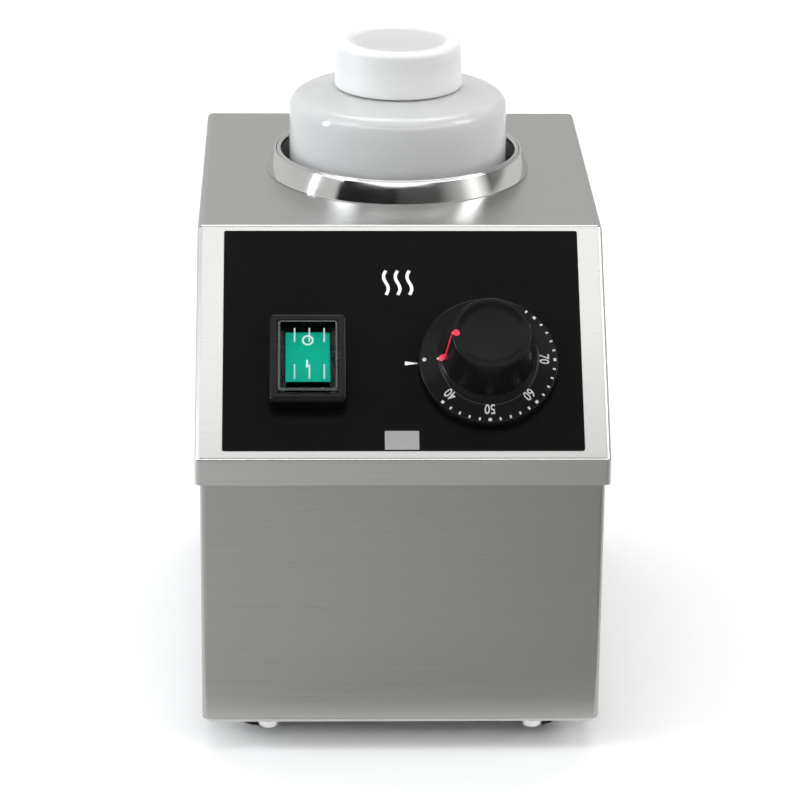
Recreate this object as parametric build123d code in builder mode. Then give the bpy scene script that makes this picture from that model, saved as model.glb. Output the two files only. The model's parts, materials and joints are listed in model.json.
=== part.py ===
"""Heated sauce-bottle warmer: a stainless housing with a sloping control panel and one heated well
that keeps a squeeze bottle of cheese sauce warm. Millimetres, +Z up, front towards -Y, feet on Z = 0."""

import os
from math import cos, radians, sin

from build123d import *

os.makedirs("parts", exist_ok=True)

# ---------------------------------------------------------------- driving dimensions
WIDTH = 160.0  # over the hood
DECK_HEIGHT = 195.0  # deck above the worktop
DECK_DEPTH = 163.5  # flat top, front to back
SLOPE_ANGLE = 44.0  # control panel above horizontal
SLOPE_LENGTH = 102.0
LIP_HEIGHT = 10.5  # upright edge under the control panel
OVERALL_DEPTH = 256.0  # knob's foremost edge to the tip of the cable gland
SHEET = 1.0  # stainless sheet
OVERHANG = 2.0  # hood over lower body, each side
BEND = 2.2  # outside radius of a folded edge

FOOT_HEIGHT = 12.0
BASE_SHEET = 1.2

WELL_RADIUS = 48.5  # inside
WELL_DEPTH = 130.0  # deck to the well's floor
WELL_X = 1.0  # the well's axis is a little right of the middle
WELL_SETBACK = 80.5  # from the deck's front edge to the well's axis
RIM_HEIGHT = 9.0  # rim above the deck
RIM_RADIUS = 51.4  # outer edge of the collar's top
SKIRT_RADIUS = 54.5  # where the rim's skirt meets the deck

BOTTLE_RADIUS = 44.9
BOTTLE_WALL = 1.3
NECK_RADIUS = 21.2
SHOULDER_RADIUS = 6.0
BASE_RADIUS = 6.0

KNOB_X = 33.4
KNOB_DOWN = 61.6  # down the slope from the deck's front edge
KNOB_RADIUS = 27.0
KNOB_HEIGHT = 28.0
KNOB_EDGE = 1.0  # rounding of the grip's top edge
GRIP_RADIUS = 15.2

SWITCH_X = -36.5
SWITCH_DOWN = 61.8
ROCKER_TILT = 9.0  # either side of level

M4 = 1.95  # shank radius of an M4 screw
M4_HOLE = 2.15
M4_HEAD = 3.6
M4_HEAD_HEIGHT = 2.2
M4_FLATS = 7.0
M4_NUT_HEIGHT = 3.2

# ---------------------------------------------------------------- derived positions
SLOPE_COS = cos(radians(SLOPE_ANGLE))
SLOPE_SIN = sin(radians(SLOPE_ANGLE))
SLOPE_RUN = SLOPE_LENGTH * SLOPE_COS
SLOPE_RISE = SLOPE_LENGTH * SLOPE_SIN
KNOB_REACH = (
    (KNOB_DOWN + GRIP_RADIUS - KNOB_EDGE) * SLOPE_COS + (KNOB_HEIGHT - KNOB_EDGE) * SLOPE_SIN + KNOB_EDGE
)  # from the deck's front edge forward to the knob's foremost edge
Y_FRONT = -OVERALL_DEPTH / 2 + KNOB_REACH - SLOPE_RUN
Y_DECK_FRONT = Y_FRONT + SLOPE_RUN
Y_BACK = Y_DECK_FRONT + DECK_DEPTH
Z_LIP_TOP = DECK_HEIGHT - SLOPE_RISE
Z_LIP_BOTTOM = Z_LIP_TOP - LIP_HEIGHT
BASE_TOP = FOOT_HEIGHT + BASE_SHEET

BODY_HALF_WIDTH = WIDTH / 2 - OVERHANG
BODY_FRONT = Y_FRONT + OVERHANG
BODY_BACK = Y_BACK - OVERHANG
BODY_TOP = Z_LIP_TOP - 2.0
BODY_FLANGE = 12.0

WELL_Y = Y_DECK_FRONT + WELL_SETBACK
WELL_FLOOR = DECK_HEIGHT - WELL_DEPTH

# ---------------------------------------------------------------- planes and axes
PANEL = Plane(
    origin=(0, Y_DECK_FRONT, DECK_HEIGHT),
    x_dir=(1, 0, 0),
    z_dir=(0, -SLOPE_SIN, SLOPE_COS),
)  # local x is right, y is up the slope, z is out of the panel


def on_panel(x, up, out=0.0):
    """The control panel's plane, moved to a point given in its own coordinates."""
    return Plane(origin=PANEL.from_local_coords((x, up, out)), x_dir=PANEL.x_dir, z_dir=PANEL.z_dir)


def section_of(plane):
    """A plane through plane's axis: its x is the radius and its y is the axis."""
    return Plane(origin=plane.origin, x_dir=plane.x_dir, z_dir=-plane.y_dir)


def upright_at(x, y):
    """The axis plane of something round that stands upright at (x, y)."""
    return Plane(origin=(x, y, 0), x_dir=(1, 0, 0), z_dir=(0, 0, 1))


def axis_of(plane):
    return Axis(plane.origin, plane.z_dir)


KNOB = on_panel(KNOB_X, -KNOB_DOWN)
SWITCH = on_panel(SWITCH_X, -SWITCH_DOWN)
WELL = upright_at(WELL_X, WELL_Y)


def save(piece, name):
    """Labels a finished piece and writes its STEP file."""
    piece.part.label = name
    export_step(piece.part, f"parts/{name}.step")


# ---------------------------------------------------------------- shared small shapes
def screw(plane, length, head_radius=M4_HEAD, head_height=M4_HEAD_HEIGHT, shank=M4):
    """Adds a pan-head screw to the open part: its head stands on the plane, its shank goes along -z."""
    with BuildSketch(plane) as head_outline:
        Circle(head_radius)
    head = extrude(head_outline.sketch, amount=head_height)
    fillet(head.edges().filter_by(GeomType.CIRCLE).sort_by(axis_of(plane))[-1], head_height * 0.45)
    with BuildSketch(plane) as shank_outline:
        Circle(shank)
    extrude(shank_outline.sketch, amount=-length)


def nut(plane, flats=M4_FLATS, height=M4_NUT_HEIGHT, bore=M4 + 0.05):
    """Adds a hexagon nut to the open part, standing on the plane."""
    with BuildSketch(plane) as outline:
        RegularPolygon(flats / 2, 6, major_radius=False)
        Circle(bore, mode=Mode.SUBTRACT)
    extrude(outline.sketch, amount=height)


def facing(point, direction, x_dir=None):
    return Plane(origin=point, z_dir=direction, x_dir=x_dir)


# ================================================================ housing
HOOD_SCREW_X = 50.0
HOOD_SCREW_Z = Z_LIP_BOTTOM + 5.0
SWITCH_HOLE = (22.0, 30.0)
BUSH_HOLE = 6.0
THERMOSTAT_SCREW_SPACING = 28.0
DECK_HOLE = WELL_RADIUS + SHEET + 0.7

with BuildPart() as hood:
    with BuildSketch(Plane.YZ):
        with BuildLine():
            Polyline(
                (Y_FRONT, Z_LIP_BOTTOM),
                (Y_FRONT, Z_LIP_TOP),
                (Y_DECK_FRONT, DECK_HEIGHT),
                (Y_BACK, DECK_HEIGHT),
                (Y_BACK, Z_LIP_BOTTOM),
                close=True,
            )
        make_face()
    extrude(amount=WIDTH / 2, both=True)
    bottom = faces().sort_by(Axis.Z)[0]
    fillet(edges() - bottom.edges(), BEND)
    offset(amount=-SHEET, openings=faces().sort_by(Axis.Z)[0])
    with BuildSketch(WELL.offset(DECK_HEIGHT)):
        Circle(DECK_HOLE)
    extrude(amount=-5, mode=Mode.SUBTRACT)
    with BuildSketch(SWITCH):
        Rectangle(*SWITCH_HOLE)
    with BuildSketch(KNOB):
        Circle(BUSH_HOLE)
        with GridLocations(THERMOSTAT_SCREW_SPACING, 0, 2, 1):
            Circle(M4_HOLE)
    extrude(amount=-5, mode=Mode.SUBTRACT)
    with BuildSketch(facing((0, Y_BACK, HOOD_SCREW_Z), (0, 1, 0), (1, 0, 0))):
        with GridLocations(2 * HOOD_SCREW_X, 0, 2, 1):
            Circle(M4_HOLE)
    extrude(amount=-SHEET - 0.5, mode=Mode.SUBTRACT)
save(hood, "hood")

# ================================================================ base
GLAND_X = 45.0
GLAND_Z = 36.0
GLAND_THREAD = 7.9
BASE_SCREW_X = 52.0
BASE_SCREW_YS = (BODY_FRONT + 5.5, BODY_BACK - 5.5)
FOOT_X = 56.0
FOOT_YS = (BODY_FRONT + 31.0, BODY_BACK - 31.0)
BODY_CENTRE = (BODY_FRONT + BODY_BACK) / 2
BODY_DEPTH = BODY_BACK - BODY_FRONT
BASE_SCREW_PLACES = [(side * BASE_SCREW_X, y) for side in (-1, 1) for y in BASE_SCREW_YS]
FOOT_PLACES = {
    "front_left": (-FOOT_X, FOOT_YS[0]),
    "front_right": (FOOT_X, FOOT_YS[0]),
    "rear_left": (-FOOT_X, FOOT_YS[1]),
    "rear_right": (FOOT_X, FOOT_YS[1]),
}
TERMINAL_Y = -92.0  # centre of the terminal block
TERMINAL_PITCH = 10.0
TERMINAL_ROWS = 11.0  # apart, front to back
TERMINAL_SCREW_SPACING = 40.0
EARTH = (45.0, -66.0)
FLANGE_TOP = BASE_TOP + SHEET

with BuildPart() as lower_body:
    with BuildSketch(Plane.XY.offset(BASE_TOP)):
        with Locations((0, BODY_CENTRE)):
            Rectangle(2 * BODY_HALF_WIDTH, BODY_DEPTH)
    extrude(amount=BODY_TOP - BASE_TOP)
    fillet(edges().filter_by(Axis.Z), BEND)
    fillet(faces().sort_by(Axis.Z)[0].edges(), 1.6)
    offset(amount=-SHEET, openings=faces().sort_by(Axis.Z)[-1])
    with BuildSketch(Plane.XY.offset(BASE_TOP)):
        with Locations((0, BODY_CENTRE)):
            Rectangle(2 * (BODY_HALF_WIDTH - BODY_FLANGE), BODY_DEPTH - 2 * BODY_FLANGE)
        with Locations(*BASE_SCREW_PLACES):
            Circle(M4_HOLE)
    extrude(amount=SHEET, mode=Mode.SUBTRACT)
    with BuildSketch(facing((0, BODY_BACK, 0), (0, 1, 0), (1, 0, 0))):
        with Locations((GLAND_X, -GLAND_Z)):
            Circle(GLAND_THREAD + 0.2)
        with Locations((-HOOD_SCREW_X, -HOOD_SCREW_Z), (HOOD_SCREW_X, -HOOD_SCREW_Z)):
            Circle(M4_HOLE)
    extrude(amount=-SHEET - 0.5, mode=Mode.SUBTRACT)
save(lower_body, "lower_body")

PLATE_INSET = 1.6
with BuildPart() as base_plate:
    with BuildSketch(Plane.XY.offset(FOOT_HEIGHT)):
        with Locations((0, BODY_CENTRE)):
            RectangleRounded(2 * (BODY_HALF_WIDTH - PLATE_INSET), BODY_DEPTH - 2 * PLATE_INSET, 3)
        with Locations(*BASE_SCREW_PLACES, *FOOT_PLACES.values(), EARTH):
            Circle(M4_HOLE, mode=Mode.SUBTRACT)
        with Locations((0, TERMINAL_Y)):
            with GridLocations(TERMINAL_SCREW_SPACING, 0, 2, 1):
                Circle(M4_HOLE, mode=Mode.SUBTRACT)
        with Locations((0, WELL_Y)):
            with GridLocations(0, 9, 1, 7):
                SlotOverall(50, 4, mode=Mode.SUBTRACT)
    extrude(amount=BASE_SHEET)
save(base_plate, "base_plate")

DOME_HEAD = 4.2
DOME_HEIGHT = 3.4
with BuildPart() as base_screws:
    for x, y in BASE_SCREW_PLACES:
        screw(facing((x, y, FOOT_HEIGHT), (0, 0, -1)), 7, DOME_HEAD, DOME_HEIGHT)
save(base_screws, "base_screws")

with BuildPart() as base_nuts:
    for x, y in BASE_SCREW_PLACES:
        nut(upright_at(x, y).offset(FLANGE_TOP))
save(base_nuts, "base_nuts")

FOOT_TOP_RADIUS = 10.0
FOOT_BOTTOM_RADIUS = 8.4
FOOT_POCKET_RADIUS = 5.0
FOOT_POCKET_HEIGHT = 6.0
for place, (x, y) in FOOT_PLACES.items():
    with BuildPart() as foot:
        with BuildSketch(section_of(upright_at(x, y))):
            Polygon(
                (FOOT_POCKET_RADIUS, 0),
                (FOOT_BOTTOM_RADIUS, 0),
                (FOOT_TOP_RADIUS, FOOT_HEIGHT),
                (M4_HOLE, FOOT_HEIGHT),
                (M4_HOLE, FOOT_POCKET_HEIGHT),
                (FOOT_POCKET_RADIUS, FOOT_POCKET_HEIGHT),
                align=None,
            )
        revolve(axis=axis_of(upright_at(x, y)))
        fillet(edges().group_by(Axis.Z)[0].sort_by(SortBy.RADIUS)[-1], 1.0)
    save(foot, f"foot_{place}")

FOOT_SCREW_LENGTH = FOOT_HEIGHT + BASE_SHEET + M4_NUT_HEIGHT + 1.0 - FOOT_POCKET_HEIGHT
with BuildPart() as foot_screws:
    for x, y in FOOT_PLACES.values():
        screw(facing((x, y, FOOT_POCKET_HEIGHT), (0, 0, -1)), FOOT_SCREW_LENGTH)
save(foot_screws, "foot_screws")

with BuildPart() as foot_nuts:
    for x, y in FOOT_PLACES.values():
        nut(upright_at(x, y).offset(BASE_TOP))
save(foot_nuts, "foot_nuts")

# ---------------------------------------------------------------- hood fixings and rating plate
HOOD_SCREW_PLACES = [(side * HOOD_SCREW_X, Y_BACK, HOOD_SCREW_Z) for side in (-1, 1)]
with BuildPart() as hood_screws:
    for place in HOOD_SCREW_PLACES:
        screw(facing(place, (0, 1, 0)), 8)
save(hood_screws, "hood_screws")

with BuildPart() as hood_nuts:
    for x, _, z in HOOD_SCREW_PLACES:
        nut(facing((x, BODY_BACK - SHEET, z), (0, -1, 0)))
save(hood_nuts, "hood_nuts")

RATING_X = -28.0
RATING_Z = 60.0
RATING_SIZE = (64.0, 34.0)
with BuildPart() as rating_plate:
    with BuildSketch(facing((RATING_X, BODY_BACK, RATING_Z), (0, 1, 0), (1, 0, 0))):
        RectangleRounded(*RATING_SIZE, 2)
    extrude(amount=0.6)
save(rating_plate, "rating_plate")

# ================================================================ control panel
OVERLAY_SIZE = (139.2, 95.4)
OVERLAY_CENTRE = (0.2, -50.5)
OVERLAY = 0.4  # thickness
KNOB_CLEARANCE = 19.5  # hole in the overlay, hidden by the knob's skirt

with BuildPart() as control_overlay:
    with BuildSketch(on_panel(*OVERLAY_CENTRE)):
        RectangleRounded(*OVERLAY_SIZE, 0.8)
    extrude(amount=OVERLAY)
    with BuildSketch(SWITCH):
        Rectangle(*SWITCH_HOLE)
    with BuildSketch(KNOB):
        Circle(KNOB_CLEARANCE)
    extrude(amount=OVERLAY, mode=Mode.SUBTRACT)
save(control_overlay, "control_overlay")

SHAFT = 3.0
SHAFT_FLAT = 1.5  # distance of the shaft's flat from its axis
SKIRT_BOTTOM = 1.0
SKIRT_TOP = 4.6
with BuildPart() as thermostat_knob:
    with BuildSketch(section_of(KNOB)):
        with BuildLine():
            Polyline((0, 22), (0, KNOB_HEIGHT - 0.6), (GRIP_RADIUS - 3, KNOB_HEIGHT - 0.3))
            Line((GRIP_RADIUS - 3, KNOB_HEIGHT - 0.3), (GRIP_RADIUS - KNOB_EDGE, KNOB_HEIGHT))
            TangentArc(
                (GRIP_RADIUS - KNOB_EDGE, KNOB_HEIGHT),
                (GRIP_RADIUS, KNOB_HEIGHT - KNOB_EDGE),
                tangent=(1, 0),
            )
            Line((GRIP_RADIUS, KNOB_HEIGHT - KNOB_EDGE), (GRIP_RADIUS + 1.6, 10))
            ThreePointArc((GRIP_RADIUS + 1.6, 10), (18.2, 6.8), (20.6, 5.4))
            Polyline((20.6, 5.4), (KNOB_RADIUS - 0.8, SKIRT_TOP))
            TangentArc((KNOB_RADIUS - 0.8, SKIRT_TOP), (KNOB_RADIUS, SKIRT_TOP - 0.8), tangent=(1, -0.14))
            Polyline(
                (KNOB_RADIUS, SKIRT_TOP - 0.8),
                (KNOB_RADIUS, SKIRT_BOTTOM),
                (25.2, SKIRT_BOTTOM),
                (25.2, 3.2),
                (14.4, 3.2),
                (12.8, 24),
                (6.5, 24),
                (6.5, 3.2),
                (SHAFT + 0.05, 3.2),
                (SHAFT + 0.05, 22),
                (0, 22),
            )
        make_face()
    revolve(axis=axis_of(KNOB))
save(thermostat_knob, "thermostat_knob")

THERMOSTAT_DEPTH = 32.0
SHAFT_INNER_END = -9.0
with BuildPart() as thermostat_shaft:
    with BuildSketch(KNOB.offset(SHAFT_INNER_END)):
        Circle(SHAFT)
    extrude(amount=21.5 - SHAFT_INNER_END)
    with BuildSketch(KNOB.offset(10)):
        with Locations((0, SHAFT_FLAT + SHAFT)):
            Rectangle(2 * SHAFT, 2 * SHAFT)
    extrude(amount=11.5, mode=Mode.SUBTRACT)
save(thermostat_shaft, "thermostat_shaft")

TAB = (6.3, 0.8, 7.0)  # width, thickness and length of a blade terminal
with BuildPart() as thermostat_body:
    with BuildSketch(KNOB.offset(-SHEET)):
        RectangleRounded(40, 20, 3)
    extrude(amount=-1.2)
    with BuildSketch(KNOB.offset(-SHEET - 1.2)):
        RectangleRounded(44, 36, 3)
    extrude(amount=SHEET + 1.2 - THERMOSTAT_DEPTH)
    with BuildSketch(KNOB.offset(-SHEET)):
        Circle(BUSH_HOLE - 0.4)
    extrude(amount=3.2)
    with BuildSketch(KNOB.offset(3)):
        Circle(SHAFT + 0.05)
    extrude(amount=SHAFT_INNER_END - 3.5, mode=Mode.SUBTRACT)
    with BuildSketch(KNOB.offset(-SHEET)):
        with GridLocations(THERMOSTAT_SCREW_SPACING, 0, 2, 1):
            Circle(M4 + 0.05)
    extrude(amount=-8, mode=Mode.SUBTRACT)
save(thermostat_body, "thermostat_body")

THERMOSTAT_TAB_UPS = (0.0, 12.0)
with BuildPart() as thermostat_tabs:
    for up in THERMOSTAT_TAB_UPS:
        with BuildSketch(facing(KNOB.from_local_coords((-22, up, -20)), (-1, 0, 0), KNOB.y_dir)):
            Rectangle(TAB[0], TAB[1])
        extrude(amount=TAB[2])
save(thermostat_tabs, "thermostat_tabs")

with BuildPart() as thermostat_screws:
    for side in (-1, 1):
        place = KNOB.from_local_coords((side * THERMOSTAT_SCREW_SPACING / 2, 0, 0))
        screw(facing(place, KNOB.z_dir), 8)
save(thermostat_screws, "thermostat_screws")

# ---------------------------------------------------------------- switch
BEZEL = (30.0, 37.7)
BEZEL_HEIGHT = 7.6
WINDOW = (23.0, 30.0)
CASE_FLANGE = (27.0, 34.5)
CASE_TOP = 3.4
CASE_BODY = (21.6, 29.6)
CASE_DEPTH = 22.0
CASE_CAVITY = (18.0, 26.0)
ROCKER = (17.4, 23.6)
PIVOT_HEIGHT = 1.8
PIVOT_RADIUS = 1.0
COVER_HEIGHT = 9.6
COVER_WALL = 0.8
COVER_FLANGE = 0.8

with BuildPart() as switch_bezel:
    with BuildSketch(SWITCH.offset(OVERLAY)):
        RectangleRounded(*BEZEL, 2.2)
    extrude(amount=BEZEL_HEIGHT - OVERLAY)
    fillet(faces().sort_by(axis_of(SWITCH))[-1].edges(), 1.3)
    with BuildSketch(SWITCH.offset(OVERLAY)):
        Rectangle(CASE_FLANGE[0] + 0.4, CASE_FLANGE[1] + 0.4)
    extrude(amount=CASE_TOP + COVER_FLANGE - OVERLAY, mode=Mode.SUBTRACT)
    with BuildSketch(SWITCH):
        RectangleRounded(WINDOW[0] + 0.3, WINDOW[1] + 0.3, 1.2)
    extrude(amount=BEZEL_HEIGHT, mode=Mode.SUBTRACT)
save(switch_bezel, "switch_bezel")

with BuildPart() as switch_case:
    with BuildSketch(SWITCH.offset(OVERLAY)):
        Rectangle(*CASE_FLANGE)
    extrude(amount=CASE_TOP - OVERLAY)
    with BuildSketch(SWITCH.offset(OVERLAY)):
        Rectangle(*CASE_BODY)
    extrude(amount=-CASE_DEPTH - OVERLAY)
    with BuildSketch(SWITCH.offset(CASE_TOP)):
        Rectangle(*CASE_CAVITY)
    extrude(amount=-CASE_TOP - 8, mode=Mode.SUBTRACT)
    with BuildSketch(facing(SWITCH.from_local_coords((0, 0, PIVOT_HEIGHT)), (1, 0, 0))):
        Circle(PIVOT_RADIUS + 0.05)
    extrude(amount=CASE_CAVITY[0] / 2 + 1, both=True, mode=Mode.SUBTRACT)
save(switch_case, "switch_case")

ROCKER_FRAME = SWITCH.offset(PIVOT_HEIGHT).rotated((-ROCKER_TILT, 0, 0))
ROCKER_END_HEIGHT = 4.6
ROCKER_HOLLOW = 1.1  # the top's dip between its two ends
with BuildPart() as switch_rocker:
    with BuildSketch(Plane(ROCKER_FRAME.origin, x_dir=ROCKER_FRAME.y_dir, z_dir=ROCKER_FRAME.x_dir)):
        with BuildLine():
            end = ROCKER[1] / 2
            ThreePointArc(
                (-end, ROCKER_END_HEIGHT),
                (0, ROCKER_END_HEIGHT - ROCKER_HOLLOW),
                (end, ROCKER_END_HEIGHT),
            )
            Polyline((end, ROCKER_END_HEIGHT), (end, -5), (-end, -5), (-end, ROCKER_END_HEIGHT))
        make_face()
    extrude(amount=ROCKER[0] / 2, both=True)
    fillet(edges().filter_by(GeomType.CIRCLE), 0.6)
    with BuildSketch(Plane(ROCKER_FRAME.origin, x_dir=ROCKER_FRAME.y_dir, z_dir=ROCKER_FRAME.x_dir)):
        Circle(PIVOT_RADIUS)
    extrude(amount=CASE_CAVITY[0] / 2 + 0.8, both=True)
save(switch_rocker, "switch_rocker")

with BuildPart() as splash_cover:
    with BuildSketch(SWITCH.offset(CASE_TOP)):
        Rectangle(*CASE_FLANGE)
    extrude(amount=COVER_FLANGE)
    with BuildSketch(SWITCH.offset(CASE_TOP)):
        RectangleRounded(*WINDOW, 1.0)
    extrude(amount=COVER_HEIGHT - CASE_TOP)
    fillet(faces().sort_by(axis_of(SWITCH))[-1].edges(), 0.9)
    with BuildSketch(SWITCH.offset(CASE_TOP)):
        Rectangle(WINDOW[0] - 2 * COVER_WALL, WINDOW[1] - 2 * COVER_WALL)
    extrude(amount=COVER_HEIGHT - COVER_WALL - CASE_TOP, mode=Mode.SUBTRACT)
save(splash_cover, "splash_cover")

SWITCH_TAB_SPACING = (11.0, 16.0)
with BuildPart() as switch_tabs:
    with BuildSketch(SWITCH.offset(-CASE_DEPTH)):
        with GridLocations(*SWITCH_TAB_SPACING, 2, 2):
            Rectangle(TAB[0], TAB[1])
    extrude(amount=-TAB[2])
save(switch_tabs, "switch_tabs")

with BuildPart() as switch_lamp:
    with BuildSketch(SWITCH.offset(-8)):
        Circle(2.0)
    extrude(amount=2.6)
save(switch_lamp, "switch_lamp")

# ================================================================ well
BEAD = 0.9  # radius of the rim's rolled edge
BEAD_Z = DECK_HEIGHT + RIM_HEIGHT - BEAD
WELL_OUTER = WELL_RADIUS + SHEET
FLOOR_BEND = 8.0

with BuildPart() as well:
    with BuildSketch(section_of(WELL)):
        with BuildLine():
            Polyline((0, WELL_FLOOR - SHEET), (WELL_OUTER - FLOOR_BEND, WELL_FLOOR - SHEET))
            TangentArc(
                (WELL_OUTER - FLOOR_BEND, WELL_FLOOR - SHEET),
                (WELL_OUTER, WELL_FLOOR - SHEET + FLOOR_BEND),
                tangent=(1, 0),
            )
            Line((WELL_OUTER, WELL_FLOOR - SHEET + FLOOR_BEND), (WELL_OUTER, BEAD_Z))
            Line((WELL_OUTER, BEAD_Z), (WELL_RADIUS, BEAD_Z))
            Line((WELL_RADIUS, BEAD_Z), (WELL_RADIUS, WELL_FLOOR + FLOOR_BEND - SHEET))
            TangentArc(
                (WELL_RADIUS, WELL_FLOOR + FLOOR_BEND - SHEET),
                (WELL_RADIUS - FLOOR_BEND + SHEET, WELL_FLOOR),
                tangent=(0, -1),
            )
            Polyline((WELL_RADIUS - FLOOR_BEND + SHEET, WELL_FLOOR), (0, WELL_FLOOR), (0, WELL_FLOOR - SHEET))
        make_face()
        with Locations((WELL_RADIUS + BEAD, BEAD_Z)):
            Circle(BEAD)
    revolve(axis=axis_of(WELL))
save(well, "well")

COLLAR_TOP = BEAD_Z + 0.1
with BuildPart() as well_collar:
    with BuildSketch(section_of(WELL)):
        Polygon(
            (SKIRT_RADIUS - 1.2, DECK_HEIGHT),
            (SKIRT_RADIUS, DECK_HEIGHT),
            (RIM_RADIUS, COLLAR_TOP),
            (RIM_RADIUS - SHEET, COLLAR_TOP),
            align=None,
        )
    revolve(axis=axis_of(WELL))
save(well_collar, "well_collar")

FLANGE_RING_OUTER = 63.0
FLANGE_RING = 1.5
FLANGE_RING_TOP = DECK_HEIGHT - SHEET
STUD_CIRCLE = 57.0
STUD_LENGTH = 7.0
with BuildPart() as well_flange_ring:
    with BuildSketch(WELL.offset(FLANGE_RING_TOP)):
        Circle(FLANGE_RING_OUTER)
        Circle(WELL_OUTER + 0.02, mode=Mode.SUBTRACT)
        with PolarLocations(STUD_CIRCLE, 3, start_angle=90):
            Circle(M4_HOLE, mode=Mode.SUBTRACT)
    extrude(amount=-FLANGE_RING)
save(well_flange_ring, "well_flange_ring")

with BuildPart() as deck_studs:
    with BuildSketch(WELL.offset(FLANGE_RING_TOP)):
        with PolarLocations(STUD_CIRCLE, 3, start_angle=90):
            Circle(M4)
    extrude(amount=-STUD_LENGTH)
save(deck_studs, "deck_studs")

with BuildPart() as deck_nuts:
    with BuildSketch(WELL.offset(FLANGE_RING_TOP - FLANGE_RING)):
        with PolarLocations(STUD_CIRCLE, 3, start_angle=90):
            RegularPolygon(M4_FLATS / 2, 6, major_radius=False)
            Circle(M4 + 0.05, mode=Mode.SUBTRACT)
    extrude(amount=-M4_NUT_HEIGHT)
save(deck_nuts, "deck_nuts")

# ---------------------------------------------------------------- heater
HEATER_BOTTOM = 78.0
HEATER_TOP = 128.0
HEATER_INNER = WELL_OUTER + 0.2
HEATER_OUTER = HEATER_INNER + 2.0
HEATER_GAP = 10.0
EAR_REACH = 8.0  # how far the clamping ears stand off the band
EAR = 1.5
HEATER_BOLT_ZS = (88.0, 103.0)
HEATER_TERMINAL_X = 13.0
HEATER_TERMINAL_Z = 118.0
SLOT_HALF_WIDTH = 20.0  # front opening in the insulation
INSULATION_OUTER = 60.0
EAR_Y = WELL_Y - HEATER_OUTER - EAR_REACH

with BuildPart() as band_heater:
    with BuildSketch(WELL.offset(HEATER_BOTTOM)):
        Circle(HEATER_OUTER)
        with Locations((-HEATER_GAP / 2 - EAR / 2, -HEATER_OUTER), (HEATER_GAP / 2 + EAR / 2, -HEATER_OUTER)):
            Rectangle(EAR, 2 * EAR_REACH)
        Circle(HEATER_INNER, mode=Mode.SUBTRACT)
        with Locations((0, -HEATER_OUTER)):
            Rectangle(HEATER_GAP, 8, mode=Mode.SUBTRACT)
    extrude(amount=HEATER_TOP - HEATER_BOTTOM)
    with BuildSketch(Plane.YZ):
        with Locations(*[(EAR_Y + 3.5, z) for z in HEATER_BOLT_ZS]):
            Circle(M4_HOLE)
    extrude(amount=HEATER_GAP, both=True, mode=Mode.SUBTRACT)
save(band_heater, "band_heater")

BOLT_SEAT = HEATER_GAP / 2 + EAR
with BuildPart() as heater_bolts:
    for z in HEATER_BOLT_ZS:
        screw(facing((WELL_X - BOLT_SEAT, EAR_Y + 3.5, z), (-1, 0, 0)), 2 * BOLT_SEAT + 5)
save(heater_bolts, "heater_bolts")

with BuildPart() as heater_nuts:
    for z in HEATER_BOLT_ZS:
        nut(facing((WELL_X + BOLT_SEAT, EAR_Y + 3.5, z), (1, 0, 0)))
save(heater_nuts, "heater_nuts")

HEATER_TERMINAL_TIP = WELL_Y - HEATER_OUTER - 9.0
with BuildPart() as heater_terminals:
    with BuildSketch(facing((WELL_X, HEATER_TERMINAL_TIP, HEATER_TERMINAL_Z), (0, 1, 0), (1, 0, 0))):
        with GridLocations(2 * HEATER_TERMINAL_X, 0, 2, 1):
            Circle(2.5)
    extrude(amount=12)
    with BuildSketch(WELL):
        Circle(HEATER_OUTER + 0.02)
    extrude(amount=DECK_HEIGHT, mode=Mode.SUBTRACT)
save(heater_terminals, "heater_terminals")

INSULATION_INNER = HEATER_OUTER + 0.3
INSULATION_TOP = 186.0
PAD_BOTTOM = 52.5
with BuildPart() as insulation_sleeve:
    with BuildSketch(WELL.offset(WELL_FLOOR - SHEET)):
        Circle(INSULATION_OUTER)
        Circle(INSULATION_INNER, mode=Mode.SUBTRACT)
        with Locations((0, -INSULATION_OUTER)):
            Rectangle(2 * SLOT_HALF_WIDTH, 40, mode=Mode.SUBTRACT)
    extrude(amount=INSULATION_TOP - WELL_FLOOR + SHEET)
save(insulation_sleeve, "insulation_sleeve")

CUTOUT_RADIUS = 8.0
with BuildPart() as insulation_pad:
    with BuildSketch(WELL.offset(PAD_BOTTOM)):
        Circle(INSULATION_OUTER)
        Circle(CUTOUT_RADIUS + 4, mode=Mode.SUBTRACT)
    extrude(amount=WELL_FLOOR - SHEET - PAD_BOTTOM)
save(insulation_pad, "insulation_pad")

with BuildPart() as thermal_cutout:
    with BuildSketch(WELL.offset(WELL_FLOOR - SHEET)):
        Circle(CUTOUT_RADIUS)
    extrude(amount=-9)
    with BuildSketch(WELL.offset(WELL_FLOOR - SHEET - 9)):
        with GridLocations(8, 0, 2, 1):
            Rectangle(TAB[1], TAB[0])
    extrude(amount=-TAB[2])
save(thermal_cutout, "thermal_cutout")

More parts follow.
